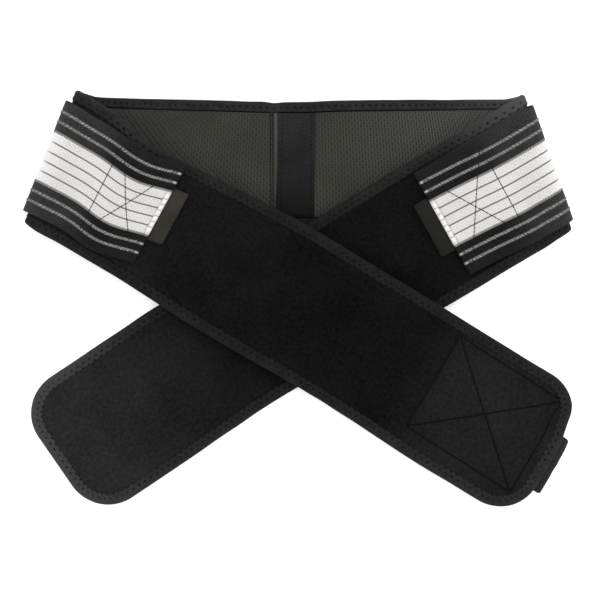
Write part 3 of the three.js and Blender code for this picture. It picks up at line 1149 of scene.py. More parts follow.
@dataclass(frozen=True)
class ElasticFinish:
    """Knitted elastic: a white middle with thin grey lines, black sides with dotted white lines; painted
    light at the fold, and painted bead shading along the hem.
    """

    white: Color = (0.69, 0.675, 0.66, 1)
    shaded_white: Color = (0.56, 0.545, 0.53, 1)
    # Painted highlight on the hem's bead tops.
    bead_highlight_white: Color = (0.79, 0.78, 0.775, 1)
    # Painted highlight at the fold.
    fold_highlight_white: Color = (0.86, 0.855, 0.85, 1)
    # Painted shade in the pinches between the hem's beads.
    pinch: Color = (0.46, 0.455, 0.45, 1)
    black: Color = grey(0.0022)
    worn_black: Color = (0.0135, 0.0133, 0.0133, 1)
    # Painted light on the black sides towards the fold.
    fold_lit_dark: Color = grey(0.014)
    fold_lit_light: Color = (0.057, 0.0565, 0.056, 1)
    line: Color = (0.125, 0.121, 0.118, 1)
    border: Color = (0.19, 0.187, 0.185, 1)
    rope: Color = (0.12, 0.118, 0.115, 1)
    bump: float = 0.22 * MM
    nap: float = 1500.0
    patch: float = 40.0
    white_grain: float = 700.0
    black_grain: float = 900.0
    knit_along: float = 3.0 * MM
    knit_across: float = 2.8 * MM
    hole_share: float = 0.25
    fuzz_share: float = 0.35
    tooth: float = 0.2 * MM
    line_half: float = 0.48 * MM
    border_half: float = 0.75 * MM
    rope_half: float = 1.0 * MM
    # How far from the fold the painted light on the black sides reaches.
    fold_lit_reach: float = 55 * MM

    def material(self) -> Material:
        """Mixes the finish.

        Returns:
            The material.
        """
        cloth = ClothMaterial("striped_elastic", self.bump)
        knit, hole = cloth.weave(self.knit_along, self.knit_across)
        fuzz, rough = cloth.fuzz(self.nap)
        along, across = cloth.split(cloth.place)
        away = cloth.math("ABSOLUTE", across)
        from_fold = cloth.apart(along, FOLD_PLACE)
        # Black sides, made lighter towards the fold by painted light.
        base_tone = cloth.shade(self.black, self.worn_black, self.patch, self.black_grain)
        fold_lit = cloth.shade(self.fold_lit_dark, self.fold_lit_light, self.patch, self.black_grain)
        sides = cloth.mix(cloth.ramp(from_fold, self.fold_lit_reach, 0), base_tone, fold_lit)
        hem = cloth.ramp(along, STRAP_END - HEM, STRAP_END - HEM + 0.5 * MM)
        # Painted bead shading along the hem: lighter tops and grey shade in the pinches.
        swing = cloth.math("ABSOLUTE", cloth.wave(across, 2 * BEAD_PITCH))
        beads = cloth.mix(cloth.ramp(swing, 0.1, 0.45, 0.8, 0), self.bead_highlight_white, self.pinch)
        middle = cloth.mix(hem, self.white_zone(cloth, hole, away, from_fold), beads)
        teeth = cloth.math("SINE", cloth.times(along, 2 * np.pi / TOOTH_PITCH))
        toothed = cloth.math("ADD", away, cloth.times(teeth, self.tooth))
        color = cloth.mix(cloth.stripe(toothed, 0.0, WHITE_HALF, 0.8 * MM), sides, middle)
        stripes = [(toothed, WHITE_HALF, self.border_half, self.border)]
        stripes += [(away, place, self.rope_half, self.rope) for place in ROPE_MIDDLES]
        for position, place, half, tint in stripes:
            color = cloth.mix(cloth.stripe(position, place, half, 0.6 * MM), color, tint)
        return cloth.finish(color, rough, cloth.math("MULTIPLY_ADD", fuzz, self.fuzz_share, knit))

    def white_zone(self, cloth: ClothMaterial, hole: Socket, away: Socket, from_fold: Socket) -> Socket:
        """Mixes the white middle: its knit, a painted highlight that whitens it at the fold and hides the
        grey lines there, and its grey lines.

        Args:
            cloth: The material that it goes into.
            hole: The holes of the knit.
            away: The distance from the strap's middle line.
            from_fold: The distance from the fold.

        Returns:
            The colour.
        """
        pale = cloth.shade(self.shaded_white, self.white, self.patch, self.white_grain)
        knitted = cloth.mix(cloth.times(hole, self.hole_share), pale, self.line)
        # Painted highlight at the fold, which also hides the grey lines there.
        color = cloth.mix(cloth.ramp(from_fold, 16 * MM, 1 * MM), knitted, self.fold_highlight_white)
        shown = cloth.ramp(from_fold, 3 * MM, 10 * MM)
        for place in LINE_MIDDLES:
            line = cloth.stripe(away, place, self.line_half, 0.55 * MM)
            color = cloth.mix(cloth.times(line, shown), color, self.line)
        return color


@dataclass(frozen=True)
class ThreadFinish:
    """Sewing thread or yarn between two near colours."""

    name: str
    dark: Color
    light: Color
    bump: float = 0.08 * MM
    nap: float = 2600.0
    patch: float = 300.0
    grain: float = 1500.0

    def material(self) -> Material:
        """Mixes the finish.

        Returns:
            The material.
        """
        cloth = ClothMaterial(self.name, self.bump, sheen=0.02)
        height, rough = cloth.fuzz(self.nap)
        color = cloth.shade(self.dark, self.light, self.patch, self.grain)
        return cloth.finish(color, rough, height)


class Finishes:
    """Every finish of the belt, as a material."""

    def __init__(self, box_start: float) -> None:
        """Makes the materials.

        Args:
            box_start: Where the left end's sewn box begins along the belt.
        """
        self.loop = LoopFinish(box_start).material()
        self.air_mesh = AirMeshFinish().material()
        self.binding = BindingFinish().material()
        self.elastic = ElasticFinish().material()
        self.tape_tab = TapeFinish(
            "binding_edge_tab",
            dark=grey(0.017), light=grey(0.040),
            along_pitch=1.0 * MM, across_pitch=0.9 * MM, bump=0.12 * MM,
            fade=Fade(1, -70 * MM, -120 * MM, 0.4, grey(0.02)),
        ).material()
        self.ribbed = TapeFinish(
            "ribbed_tape",
            dark=(0.0075, 0.0075, 0.0078, 1), light=grey(0.030),
            along_pitch=1.0, across_pitch=TAPE_RIB, bump=0.12 * MM,
            # Painted shade: darker towards the tape's lower end, beside the arms.
            fade=Fade(1, 130 * MM, 55 * MM, 0.85, (0.0035, 0.0035, 0.0033, 1)),
        ).material()
        self.tab = TapeFinish(
            "tab_webbing",
            dark=(0.018, 0.0165, 0.0135, 1), light=(0.044, 0.0405, 0.034, 1),
            along_pitch=1.0 * MM, across_pitch=1.2 * MM, bump=0.15 * MM,
            # Painted shade: darker towards the right, on the right strap's tab.
            fade=Fade(0, -60 * MM, 60 * MM, 0.85, (0.0100, 0.0102, 0.0090, 1)),
        ).material()
        self.hook = TapeFinish(
            "hook_ground",
            dark=grey(0.009), light=grey(0.020),
            along_pitch=2.2 * MM, across_pitch=1.8 * MM, bump=0.5 * MM,
            fade=Fade(0, -150 * MM, 150 * MM, 0.4, grey(0.02)),
        ).material()
        self.black_thread = ThreadFinish("black_thread", grey(0.0012), grey(0.003)).material()
        self.grey_thread = ThreadFinish("grey_thread", grey(0.008), grey(0.019)).material()
        self.hem_thread = ThreadFinish("hem_thread", grey(0.26), grey(0.52)).material()
        self.white_yarn = ThreadFinish("white_yarn", grey(0.075), (0.40, 0.395, 0.39, 1)).material()


def settle(piece: Piece, slot: Slot, *nodes: str) -> Piece:
    """Fixes a piece to the belt's body and reports it.

    Args:
        piece: The new piece.
        slot: Not used.
        nodes: The solids that it stands for.

    Returns:
        The piece.
    """
    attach(piece, BODY)
    if nodes:
        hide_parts(*nodes)
    stands_for = ", ".join(nodes) or "no solid"
    LOG.info("%s: %d faces, stands for %s", piece.name, len(piece.data.polygons), stands_for)
    return piece


@dataclass(frozen=True)
class BandRows:
    """The cross rows of one half's panels, from the centre back out to its rounded end."""

    belt: BeltSurface
    side: Side
    step: float
    end_step: float
    end_length: float
    start: float = 0.02 * MM
    corner_rows: int = 26

    def at(self, inset: float) -> tuple[Array, Array]:
        """Places the rows of a panel.

        Args:
            inset: The panel's distance inside the belt's outline.

        Returns:
            Each row's distance along the belt and half width.
        """
        corner = self.belt.reach(self.side) - END_RADIUS
        turning = corner - self.end_length
        plain = np.linspace(self.start, turning, int(np.ceil((turning - self.start) / self.step)) + 1)
        close = np.linspace(turning, corner, int(np.ceil(self.end_length / self.end_step)) + 1)
        straight = np.concatenate([plain, close[1:]])
        turn = np.linspace(0, np.pi / 2, self.corner_rows + 1)[1:]
        radius = END_RADIUS - inset
        reach = np.concatenate([straight, corner + radius * np.sin(turn)])
        tuck = np.concatenate([np.full(len(straight), inset), END_RADIUS - radius * np.cos(turn)])
        along = self.side.value * reach
        return along, self.belt.width(along) / 2 - tuck


@dataclass(frozen=True)
class Panel:
    """A closed panel with one fine face, a rim of rings and one plain hidden face."""

    rows: BandRows
    columns: Array
    outward: bool
    plain_columns: int = 6

    def build(
        self, cloth: ClothMesh, inset: float, height: Heights, rim: Sequence[tuple[float, float]]
    ) -> None:
        """Adds the panel to a mesh.

        Args:
            cloth: The mesh.
            inset: The fine face's distance inside the belt's outline.
            height: Gives the fine face's height at flat places.
            rim: The rings to the hidden face, each an inset and a height.
        """
        point = self.rows.belt.point
        flip = (self.rows.side is Side.LEFT) != self.outward
        along, half = self.rows.at(inset)
        across = half[:, None] * self.columns
        along = np.broadcast_to(along[:, None], across.shape)
        index = cloth.add(point(along, across, height(along, across)), along, across)
        cloth.grid(index, flip=flip)
        loop = self.outline(index)
        for ring_inset, ring_height in rim:
            along, half = self.rows.at(ring_inset)
            ring_along = self.outline(np.broadcast_to(along[:, None], index.shape))
            ring_across = self.outline(half[:, None] * self.columns)
            ring = cloth.add(point(ring_along, ring_across, ring_height), ring_along, ring_across)
            cloth.grid(np.stack([loop, ring]), flip=not flip, closed=True)
            loop = ring
        self.hide(cloth, loop, along, half, rim[-1][1], not flip)

    @staticmethod
    def outline(table: Array) -> Array:
        """The values round a grid's edge: out along its first column and back along its last one."""
        return np.concatenate([table[:-1, 0], table[-1, :-1], table[:0:-1, -1], table[0, :0:-1]])

    def hide(
        self, cloth: ClothMesh, loop: Array, along: Array, half: Array, height: float, flip: bool
    ) -> None:
        """Adds the plain hidden face inside the last ring.

        Args:
            cloth: The mesh.
            loop: The last ring's numbers.
            along: The rows' distances along.
            half: The rows' half widths.
            height: The face's height.
            flip: Whether the face looks the other way.
        """
        count, wide = len(along), len(self.columns)
        back = 2 * count + wide - 3
        low = loop[:count]
        end = loop[count - 1 : count + wide - 1]
        high = loop[count + wide - 2 : back + 1][::-1]
        start = np.concatenate([loop[:1], loop[back:][::-1]])
        shares = np.linspace(-1, 1, self.plain_columns + 1)[1:-1]
        across = half[1:-1, None] * shares
        inner_along = np.broadcast_to(along[1:-1, None], across.shape)
        inner = cloth.add(self.rows.belt.point(inner_along, across, height), inner_along, across)
        index = np.concatenate([low[1:-1, None], inner, high[1:-1, None]], axis=1)
        cloth.grid(index, flip=flip)
        marks = np.round(np.linspace(0, wide - 1, self.plain_columns + 1)).astype(int)
        for k in range(self.plain_columns):
            first, last = marks[k], marks[k + 1]
            near = np.concatenate([start[first : last + 1], index[0, [k + 1, k]]])
            far = np.concatenate([end[first : last + 1], index[-1, [k + 1, k]]])
            cloth.face(near, flip=not flip)
            cloth.face(far, flip=flip)


def edge_columns(step: float) -> Array:
    """Spaces a panel's columns, closer together towards its edges.

    Args:
        step: The distance between columns away from the edges.

    Returns:
        Their shares of the half width, from -1 to 1.
    """
    half = 42 * MM
    margin = 7 * MM
    edge = np.array([0, 0.4, 0.9, 1.6, 2.5, 3.7, 5.2]) * MM
    count = int(np.ceil((half - margin) / step))
    inner = np.linspace(half - margin, 0, count + 1)
    outer = np.concatenate([half - edge, inner])
    return np.concatenate([-outer, outer[-2::-1]]) / half


@dataclass
class BeltPiece:
    """What every main piece has: the surface that it is laid on and the belt's finishes."""

    belt: BeltSurface
    finishes: Finishes


@dataclass
class PaddedBand(BeltPiece):
    """One half of the foam band under its loop cloth, drawn in where the binding grips it."""

    side: Side
    end_box: StitchBox
    face_inset: float = 8.15 * MM
    shoulder_inset: float = 7.9 * MM
    tongue_inset: float = 1.5 * MM
    dip: float = 0.7 * MM
    dip_reach: float = 2.4 * MM
    groove: float = 0.8 * MM
    groove_width: float = 2.0 * MM
    quilt: float = 0.3 * MM
    quilt_reach: float = 14 * MM
    quilt_edge: float = 2 * MM
    swell: float = 0.1 * MM
    step: float = 1.6 * MM
    column: float = 1.7 * MM
    sewn_step: float = 0.9 * MM
    sewn_column: float = 1.0 * MM
    end_length: float = 85 * MM

    def height(self, along: Array, across: Array) -> Array:
        """Finds the heights of the loop cloth.

        Args:
            along: Distances along the belt.
            across: Distances across it.

        Returns:
            The heights over the middle surface.
        """
        inset = self.belt.rim_distance(along, across)
        dip = self.dip * np.exp(-np.maximum(inset - BINDING_WIDTH, 0) / self.dip_reach)
        lengthwise = sway(along, 13 * MM, 2.1, across, 23 * MM)
        crosswise = sway(across, 9 * MM, 1.7, along, 31 * MM)
        swell = self.swell * (0.6 * lengthwise + 0.4 * crosswise)
        away = self.end_box.distance(along, across)
        inside = ease(along, self.end_box.near - self.quilt_edge, self.end_box.near + self.quilt_edge)
        quilt = self.quilt * inside * ease(away, 0, self.quilt_reach)
        return LAYERS.loop_face - dip + swell + quilt - self.groove * bell(away, self.groove_width)

    def build(self) -> None:
        """Builds the band."""
        sewn = self.side is Side.LEFT
        end_step = self.sewn_step if sewn else self.step
        column = self.sewn_column if sewn else self.column
        rows = BandRows(self.belt, self.side, self.step, end_step, self.end_length)
        panel = Panel(rows, edge_columns(column), outward=True)
        cloth = ClothMesh(f"padded_band_{self.side.word}")
        rim = (
            (self.shoulder_inset, LAYERS.pad_tongue),
            (self.tongue_inset, LAYERS.pad_tongue),
            (self.tongue_inset, LAYERS.pad_back),
        )
        panel.build(cloth, self.face_inset, self.height, rim)
        piece = settle(cloth.build(self.finishes.loop), Slot.LOOP, f"band_{self.side.word}")

    def sew_end(self) -> None:
        """Sews the rectangle and its diagonals that hold the hook patch."""
        thread = Thread(radius=1.0 * MM, rise=-0.4 * MM, sink=0.2 * MM, pitch=4.0 * MM, gap=-0.5 * MM)
        cloth = ClothMesh("end_box_stitches")
        for line in self.end_box.lines():
            thread.sew(cloth, self.belt.point, line, self.height)
        settle(cloth.build(self.finishes.black_thread), Slot.LOOP)


@dataclass
class Lining(BeltPiece):
    """One half of the air-mesh lining, puckered along the binding."""

    side: Side
    inset: float = 8.2 * MM
    dip: float = 0.75 * MM
    dip_reach: float = 2.2 * MM
    pucker: float = 0.3 * MM
    pucker_pitch: float = 6.5 * MM
    pucker_reach: float = 9 * MM
    seam_lean: float = 1.2 * MM
    seam_depth: float = 0.4 * MM
    seam_width: float = 0.55 * MM
    seam_margin: float = 0.5 * MM
    ridge: float = 0.55 * MM
    ridge_width: float = 1.1 * MM
    rim_height: float = -1.6 * MM
    rim_step: float = 0.2 * MM
    step: float = 1.15 * MM
    end_step: float = 2.0 * MM
    end_length: float = 260 * MM
    column: float = 2.4 * MM

    @property
    def half(self) -> float:
        """Half the lining's width at the centre back."""
        return self.belt.back_width / 2 - self.inset

    def height(self, along: Array, across: Array) -> Array:
        """Finds the heights of the lining, with its ridge and seams beside the tape.

        Args:
            along: Distances along the belt.
            across: Distances across it.

        Returns:
            The heights over the middle surface.
        """
        away = np.maximum(self.belt.rim_distance(along, across) - self.inset, 0)
        dip = self.dip * np.exp(-away / self.dip_reach)
        wander = 1.3 * np.sin(along / (17 * MM)) + 0.8 * np.sin(along / (7.3 * MM))
        wave = 0.5 + 0.5 * np.sin(2 * np.pi * along / self.pucker_pitch + wander + np.sign(across))
        pucker = self.pucker * wave * np.exp(-away / self.pucker_reach)
        up = across / self.half
        upright = along - self.seam_lean * up
        seams = sum(bell(upright - place, self.seam_width) for place in LINING_SEAMS)
        crest = bell(upright - LINING_RIDGE, self.ridge_width)
        ridge = self.ridge * (0.65 + 0.35 * np.clip(up, -1, 1)) * crest
        return LAYERS.lining_back + dip + pucker + self.seam_depth * np.minimum(seams, 1) - ridge

    def under(self, along: Array, across: Array, offset: Array) -> Array:
        """Points by their height over the middle surface on the lining's side."""
        return self.belt.point(along, across, -offset)

    def sew(self) -> None:
        """Sews the two seams beside the tape."""
        thread = Thread(radius=0.3 * MM, rise=0.4 * MM, sink=-0.1 * MM, pitch=2.3 * MM, gap=0.3 * MM)
        long = self.half - self.seam_margin
        cloth = ClothMesh("lining_seam_stitches")
        for place in LINING_SEAMS:
            path = np.array([(place - self.seam_lean, -long), (place + self.seam_lean, long)])
            thread.sew(cloth, self.under, path, lambda along, across: -self.height(along, across))
        settle(cloth.build(self.finishes.black_thread), Slot.AIR_MESH)

    def build(self) -> None:
        """Builds the lining."""
        rows = BandRows(self.belt, self.side, self.step, self.end_step, self.end_length)
        panel = Panel(rows, edge_columns(self.column), outward=False)
        cloth = ClothMesh(f"mesh_lining_{self.side.word}")
        rim = ((self.inset, self.rim_height), (self.inset + self.rim_step, LAYERS.lining_front))
        panel.build(cloth, self.inset, self.height, rim)
        piece = settle(cloth.build(self.finishes.air_mesh), Slot.AIR_MESH, f"lining_{self.side.word}")
        flat = (2 * self.half, self.belt.reach(self.side))
        f"padded_band_{self.side.word}"


class TapeLine(NamedTuple):
    """One line along the folded tape, which faces 1 outwards, -1 to the lining or 0 neither way."""

    inset: float
    height: float
    facing: int


@dataclass
class EdgeBinding(BeltPiece):
    """The tape folded over the belt's whole edge, sewn through in a zigzag."""

    step: float = 0.95 * MM
    flat_width: float = 21 * MM
    back_width: float = 7.3 * MM
    edge_depth: float = 2.2 * MM
    edge_steps: int = 8
    leg: float = 0.9 * MM
    core_inset: float = 1.2 * MM
    groove: float = 0.1 * MM
    groove_width: float = 0.8 * MM
    hole: float = 0.4 * MM
    hole_width: float = 0.95 * MM
    back_share: float = 0.3
    roll: float = 0.45 * MM
    roll_length: float = 0.5 * MM
    wobble: float = 0.22 * MM
    notch: float = 0.7 * MM
    notch_place: float = 18 * MM
    notch_width: float = 5 * MM

    def outline(self, inset: float) -> Array:
        """Follows the belt's outline once round, from the middle of the lower edge.

        Args:
            inset: The distance inside the outline.

        Returns:
            The points' distances along and across, in two rows.
        """
        belt, step = self.belt, self.step
        left, right = belt.left_end - END_RADIUS, belt.right_end + END_RADIUS
        side = np.linspace(right, left, int((left - right) / step))
        turn = np.linspace(0, np.pi / 2, int(END_RADIUS * np.pi / 2 / step) + 1)[1:-1]
        radius = END_RADIUS - inset
        along, across = [], []
        for sign, outward, end, flat in ((-1, 1, left, side), (1, -1, right, side[::-1])):
            corner = end + outward * radius * np.sin(turn)
            bend = belt.width(corner) / 2 - END_RADIUS + radius * np.cos(turn)
            tip = end + outward * radius
            rise = belt.width(np.array([tip]))[0] / 2 - END_RADIUS
            climb = np.linspace(-rise, rise, int(2 * rise / step))
            along += [flat, corner, np.full(len(climb), tip), corner[::-1]]
            half = belt.width(flat) / 2 - inset
            across += [sign * half, sign * bend, -sign * climb, -sign * bend[::-1]]
        joined = np.stack([np.concatenate(along), np.concatenate(across)])
        return np.roll(joined, -(len(side) // 2), axis=1)

    def run(self) -> tuple[Array, float]:
        """Measures the outline.

        Returns:
            How far round each point is, stretched to a whole number of stitches, and the full length.
        """
        points = self.outline(0.0).T
        run = run_along(np.concatenate([points, points[:1]]))
        length = float(run[-1])
        return run[:-1] * round(length / BINDING_PITCH) * BINDING_PITCH / length, length

    def top(self, run: Array, inset: float) -> Array:
        """Finds how far the stitching draws the tape in.

        Args:
            run: Distances along the outline.
            inset: The distance inside it.

        Returns:
            The depths.
        """
        drawn = np.zeros(len(run))
        for k, row in enumerate(BINDING_ROWS):
            phase = ((run / BINDING_PITCH + 0.5 + 0.5 * k) % 1 - 0.5) * BINDING_PITCH
            near = bell(inset - row, self.groove_width)
            drawn = drawn + near * (self.groove + self.hole * bell(phase, self.hole_width))
        return drawn

    def section(self) -> list[TapeLine]:
        """Lists the tape's lines from its outer edge over the fold and back inside.

        Returns:
            The lines.
        """
        legs = np.array([8.0, 7.75, 7.4, 7.0, 6.6, 6.1, 5.6, 5.1, 4.6, 4.2, 3.8, 3.2, 2.7]) * MM
        back_legs = legs * self.back_width / BINDING_WIDTH
        front, back = LAYERS.binding_front, LAYERS.binding_back
        middle, high = (front + back) / 2, (front - back) / 2
        lines = [TapeLine(inset, front, 1) for inset in legs]
        for turn in np.linspace(0, np.pi, self.edge_steps + 1):
            lines.append(TapeLine(self.edge_depth * (1 - np.sin(turn)), middle + high * np.cos(turn), 0))
        lines += [TapeLine(inset, back, -1) for inset in back_legs[::-1]]
        lines += [TapeLine(inset, back + self.leg, 0) for inset in (self.back_width, self.core_inset)]
        lines += [TapeLine(inset, front - self.leg, 0) for inset in (self.core_inset, BINDING_WIDTH)]
        return lines

    def build(self) -> None:
        """Builds the binding."""
        run, length = self.run()
        waver = self.wobble * (0.6 * np.sin(run / (21 * MM)) + 0.4 * sway(run, 5.1 * MM, 2, run, 33 * MM))
        cloth = ClothMesh("bound_edge")
        rings = []
        for inset, height, facing in self.section():
            along, across = self.outline(inset)
            end = self.back_width if facing < 0 else BINDING_WIDTH
            rolled = self.roll * ease(inset, end - self.roll_length, end)
            sewn = self.top(run, inset) * (1 if facing > 0 else self.back_share)
            notch = self.notch * bell(along - self.notch_place, self.notch_width) * (across > 0)
            shrink = np.maximum(waver, 0) * (1 - inset / BINDING_WIDTH) + notch
            across = across - np.sign(across) * shrink
            points = self.belt.point(along, across, height - facing * (sewn + rolled))
            row = inset + (BINDING_BACK if facing < 0 else 0)
            rings.append(cloth.add(points, run, np.full(len(run), row)))
        index = np.stack(rings, axis=1)
        cloth.grid(np.concatenate([index, index[:1]]), closed=True, flip=True)
        piece = settle(cloth.build(self.finishes.binding), Slot.BINDING, "edge_binding")

    def sew(self) -> None:
        """Sews the zigzag between the two rows of holes on the outer face."""
        run, length = self.run()
        count = round(length / BINDING_PITCH)
        thread = Thread(radius=0.32 * MM, rise=0.0, sink=0.42 * MM)
        cloth = ClothMesh("binding_stitches")
        rows = [self.outline(row) for row in BINDING_ROWS]
        t = np.linspace(0.1, 0.9, thread.rings)
        for lean, share in ((0.0, t), (0.5, 1 - t)):
            at = (np.arange(count)[:, None] + lean + 0.5 * t) * BINDING_PITCH % run[-1]
            inner, outer = (np.stack([np.interp(at, run, part) for part in row]) for row in rows)
            along, across = inner * (1 - share) + outer * share
            thread.lay(cloth, self.belt.point, along, across, np.full(along.shape, LAYERS.binding_front))
        settle(cloth.build(self.finishes.binding), Slot.BINDING)


@dataclass
class CenterTape(BeltPiece):
    """The ribbed tape over the middle of the lining, tucked under the binding at both ends."""

    width: float = 25 * MM
    inset: float = 8.25 * MM
    rib: float = 0.08 * MM
    slide: float = 1.3 * MM
    lean: float = -0.6 * MM
    spread: float = 1.043
    flare: float = 0.023
    stitch_inset: float = 2.6 * MM
    stitch_margin: float = 1 * MM
    groove: float = 0.3 * MM
    groove_width: float = 0.7 * MM
    tuck: float = 1.1 * MM
    tuck_reach: float = 1.3 * MM
    edge: float = 0.35 * MM
    edge_width: float = 0.5 * MM
    crown: float = 0.25 * MM
    plain_margin: float = 4.5 * MM
    plain_columns: int = 11
    hidden_columns: int = 5

    @property
    def half_length(self) -> float:
        """Half the tape's length between the bindings."""
        return self.belt.back_width / 2 - self.inset

    def place(self, along: Array, across: Array, offset: Array) -> Array:
        """Places points of the tape, which is sewn on a little aslant.

        Args:
            along: Distances from the tape's middle.
            across: Distances across the belt.
            offset: Heights over the middle surface.

        Returns:
            The points.
        """
        up = across / self.half_length
        aslant = self.slide + self.lean * up + along * (self.spread + self.flare * up)
        return self.belt.point(aslant, across, offset)

    def top(self, along: Array, across: Array) -> Array:
        """Finds the heights of the tape's free face.

        Args:
            along: Distances from the tape's middle.
            across: Distances across the belt.

        Returns:
            The heights over the middle surface.
        """
        end = self.belt.width(along) / 2 - self.inset - np.abs(across)
        tucked = self.tuck * np.exp(-np.maximum(end, 0) / self.tuck_reach)
        side = self.width / 2 - np.abs(along)
        drawn = self.groove * bell(side - self.stitch_inset, self.groove_width)
        edge = self.edge * bell(side, self.edge_width)
        crown = self.crown * (along / (self.width / 2)) ** 2
        ribs = self.rib * (1 + np.cos(2 * np.pi * across / TAPE_RIB))
        return LAYERS.lining_back - LAYERS.gap - TAPE_THICKNESS + tucked + drawn + edge + crown + ribs

    def build(self) -> None:
        """Builds the tape."""
        half, long = self.width / 2, self.half_length
        sides = np.array([0, 0.3, 0.7, 1.2, 1.6, 1.9, 2.2, 2.7, 3.4]) * MM
        plain = np.linspace(-half + self.plain_margin, half - self.plain_margin, self.plain_columns)
        free = np.concatenate([-half + sides, plain, half - sides[::-1]])
        hidden = np.linspace(half, -half, self.hidden_columns)
        places = np.linspace(-long, long, int(2 * long / (TAPE_RIB / 4)))
        across, along = np.meshgrid(places, free, indexing="ij")
        face = self.place(along, across, self.top(along, across))
        under_across, under_along = np.meshgrid(places, hidden, indexing="ij")
        level = np.full(under_along.shape, LAYERS.lining_back - LAYERS.gap)
        under = self.place(under_along, under_across, level)
        cloth = ClothMesh("ribbed_center_tape")
        faces = [cloth.add(face, along, across), cloth.add(under, under_along, under_across)]
        cloth.tube(np.concatenate(faces, axis=1))
        piece = settle(cloth.build(self.finishes.ribbed), Slot.RIBBED, "center_tape")

    def sew(self) -> None:
        """Sews the tape down along both its sides."""
        thread = Thread(radius=0.26 * MM, rise=-0.1 * MM, sink=-0.25 * MM, pitch=2.8 * MM, gap=0.5 * MM)
        long = self.half_length - self.stitch_margin
        cloth = ClothMesh("tape_stitches")
        for sign in (-1, 1):
            along = sign * (self.width / 2 - self.stitch_inset)
            path = np.array([(along, -long), (along, long)])
            thread.sew(cloth, self.place, path, self.top)
        settle(cloth.build(self.finishes.black_thread), Slot.RIBBED)


@dataclass
class ElasticStrap(BeltPiece):
    """A striped elastic strap over one fold, hemmed at its free end and sewn to its hook patch."""

    side: Side
    rows: Sequence[StrapRow]
    box_length: float
    end: float = STRAP_END
    start: float = 6 * MM
    free_from: float = 164 * MM
    free_length: float = 8 * MM
    width: float = 80 * MM
    box_half: float = 36 * MM
    fold_width: float = 1.02
    free_width: float = 0.985
    gather_length: float = 25 * MM
    upper_margin: float = 0.0
    margin_start: float = 33 * MM
    hem_skew: float = 0.0
    skew_length: float = 60 * MM
    end_shift: float = 0.0
    shift_length: float = 40 * MM
    groove: float = 0.2 * MM
    groove_width: float = 0.45 * MM
    puff: float = 0.12 * MM
    hem_groove: float = 0.45 * MM
    hem_groove_width: float = 0.7 * MM
    bead_place: float = 1.7 * MM
    bead_width: float = 1.5 * MM
    bead_height: float = 1.2 * MM
    bead_sink: float = 0.5 * MM
    scallop: float = 0.8 * MM
    scallop_length: float = 3 * MM
    box_groove: float = 0.2 * MM
    box_groove_width: float = 0.6 * MM
    hem_round: float = 1.4 * MM
    side_round: float = 0.8 * MM
    plain_rows: int = 70
    row_step: float = 0.9 * MM
    hem_length: float = 6 * MM
    hem_rows: int = 22
    column: float = 0.95 * MM
    under_margin: float = 0.3 * MM
    under_columns: int = 9
    yarn_pitch: float = 2.05 * MM
    yarn_stray: float = 0.28
    yarn_seed: int = 11

    def __post_init__(self) -> None:
        """Reads the strap's table and places its sewn box."""
        along, across, lift = np.array(self.rows).T * MM
        self.shift = SteadyCurve(along, across)
        self.lift = SteadyCurve(along, lift)
        hem_line = self.end - HEM
        self.box = StitchBox(hem_line - self.box_length, hem_line, self.box_half)

    def relief(self, reach: Array, across: Array) -> Array:
        """Finds the heights of the outer face.

        Args:
            reach: Distances from the centre back.
            across: Distances from its middle line.

        Returns:
            The heights over its underside.
        """
        free = ease(reach, self.free_from, self.free_from + self.free_length)
        lines = sum(bell(across - place, self.groove_width) for place in both_sides(LINE_MIDDLES))
        cell = (across / LINE_MIDDLES[0] + 1) / 2 % 1 - 0.5
        puff = self.puff * free * (1 - 4 * cell**2) * (np.abs(across) < WHITE_HALF)
        before_end = self.end - reach
        sewn = self.hem_groove * bell(before_end - HEM, self.hem_groove_width)
        raised = self.bead_height * self.bead(across) - self.bead_sink
        bead = raised * bell(before_end - self.bead_place, self.bead_width)
        box = self.box_groove * bell(self.box.distance(reach, across), self.box_groove_width)
        return STRAP_THICKNESS - self.groove * lines + puff - sewn + bead - box

    @staticmethod
    def bead(across: Array) -> Array:
        """The hem's row of rounded beads: 0 in the pinches between them and 1 on top."""
        return np.sqrt(np.abs(np.cos(np.pi * across / BEAD_PITCH)))

    @staticmethod
    def pinches() -> Array:
        """Where the hem is pinched between its beads."""
        count = int(WHITE_HALF / BEAD_PITCH)
        return (np.arange(-count, count) + 0.5) * BEAD_PITCH

    def place(self, reach: Array, across: Array, offset: Array) -> Array:
        """Places points of the strap, whose hem leans a little and is gathered.

        Args:
            reach: Distances from the centre back.
            across: Distances from its middle line.
            offset: Heights over its underside.

        Returns:
            The points.
        """
        near_hem = ease(reach, self.end - self.skew_length, self.end)
        lean = self.hem_skew * (0.5 + across / self.width) * near_hem
        slack = ease(reach, FOLD_PLACE, FOLD_PLACE + self.gather_length)
        gather = self.fold_width + (self.free_width - self.fold_width) * slack
        near_fold = 1 - np.clip((reach - FOLD_PLACE) / (self.end - FOLD_PLACE), 0, 1)
        margin = self.upper_margin * near_fold * ease(across, self.margin_start, self.width / 2)
        slid = self.end_shift * ease(reach, FOLD_PLACE, FOLD_PLACE + self.shift_length)
        reach = reach - lean + slid
        lifted = LAYERS.loop_face + self.lift.at(reach) + offset
        across = self.shift.at(reach) + (across * gather + margin)
        return self.belt.point(self.side.value * reach, across, lifted)

    def columns(self) -> Array:
        """Spaces the outer face's columns, closer at sides, lines and pinches.

        Returns:
            Their distances from the middle line.
        """
        half = self.width / 2
        side = np.array([0.0, 0.12, 0.4, 0.9, 1.6]) * MM
        near_line = np.array([-0.6, -0.3, 0, 0.3, 0.6]) * MM
        near_pinch = np.array([-0.35, 0, 0.35]) * MM
        wide = np.arange(-half + 2.4 * MM, half - 2 * MM, self.column)
        lines = np.add.outer(both_sides(LINE_MIDDLES), near_line).ravel()
        pinches = np.add.outer(self.pinches(), near_pinch).ravel()
        marks = np.unique(np.round(np.concatenate([wide, lines, pinches]), 5))
        return np.concatenate([-half + side, marks, half - side[::-1]])

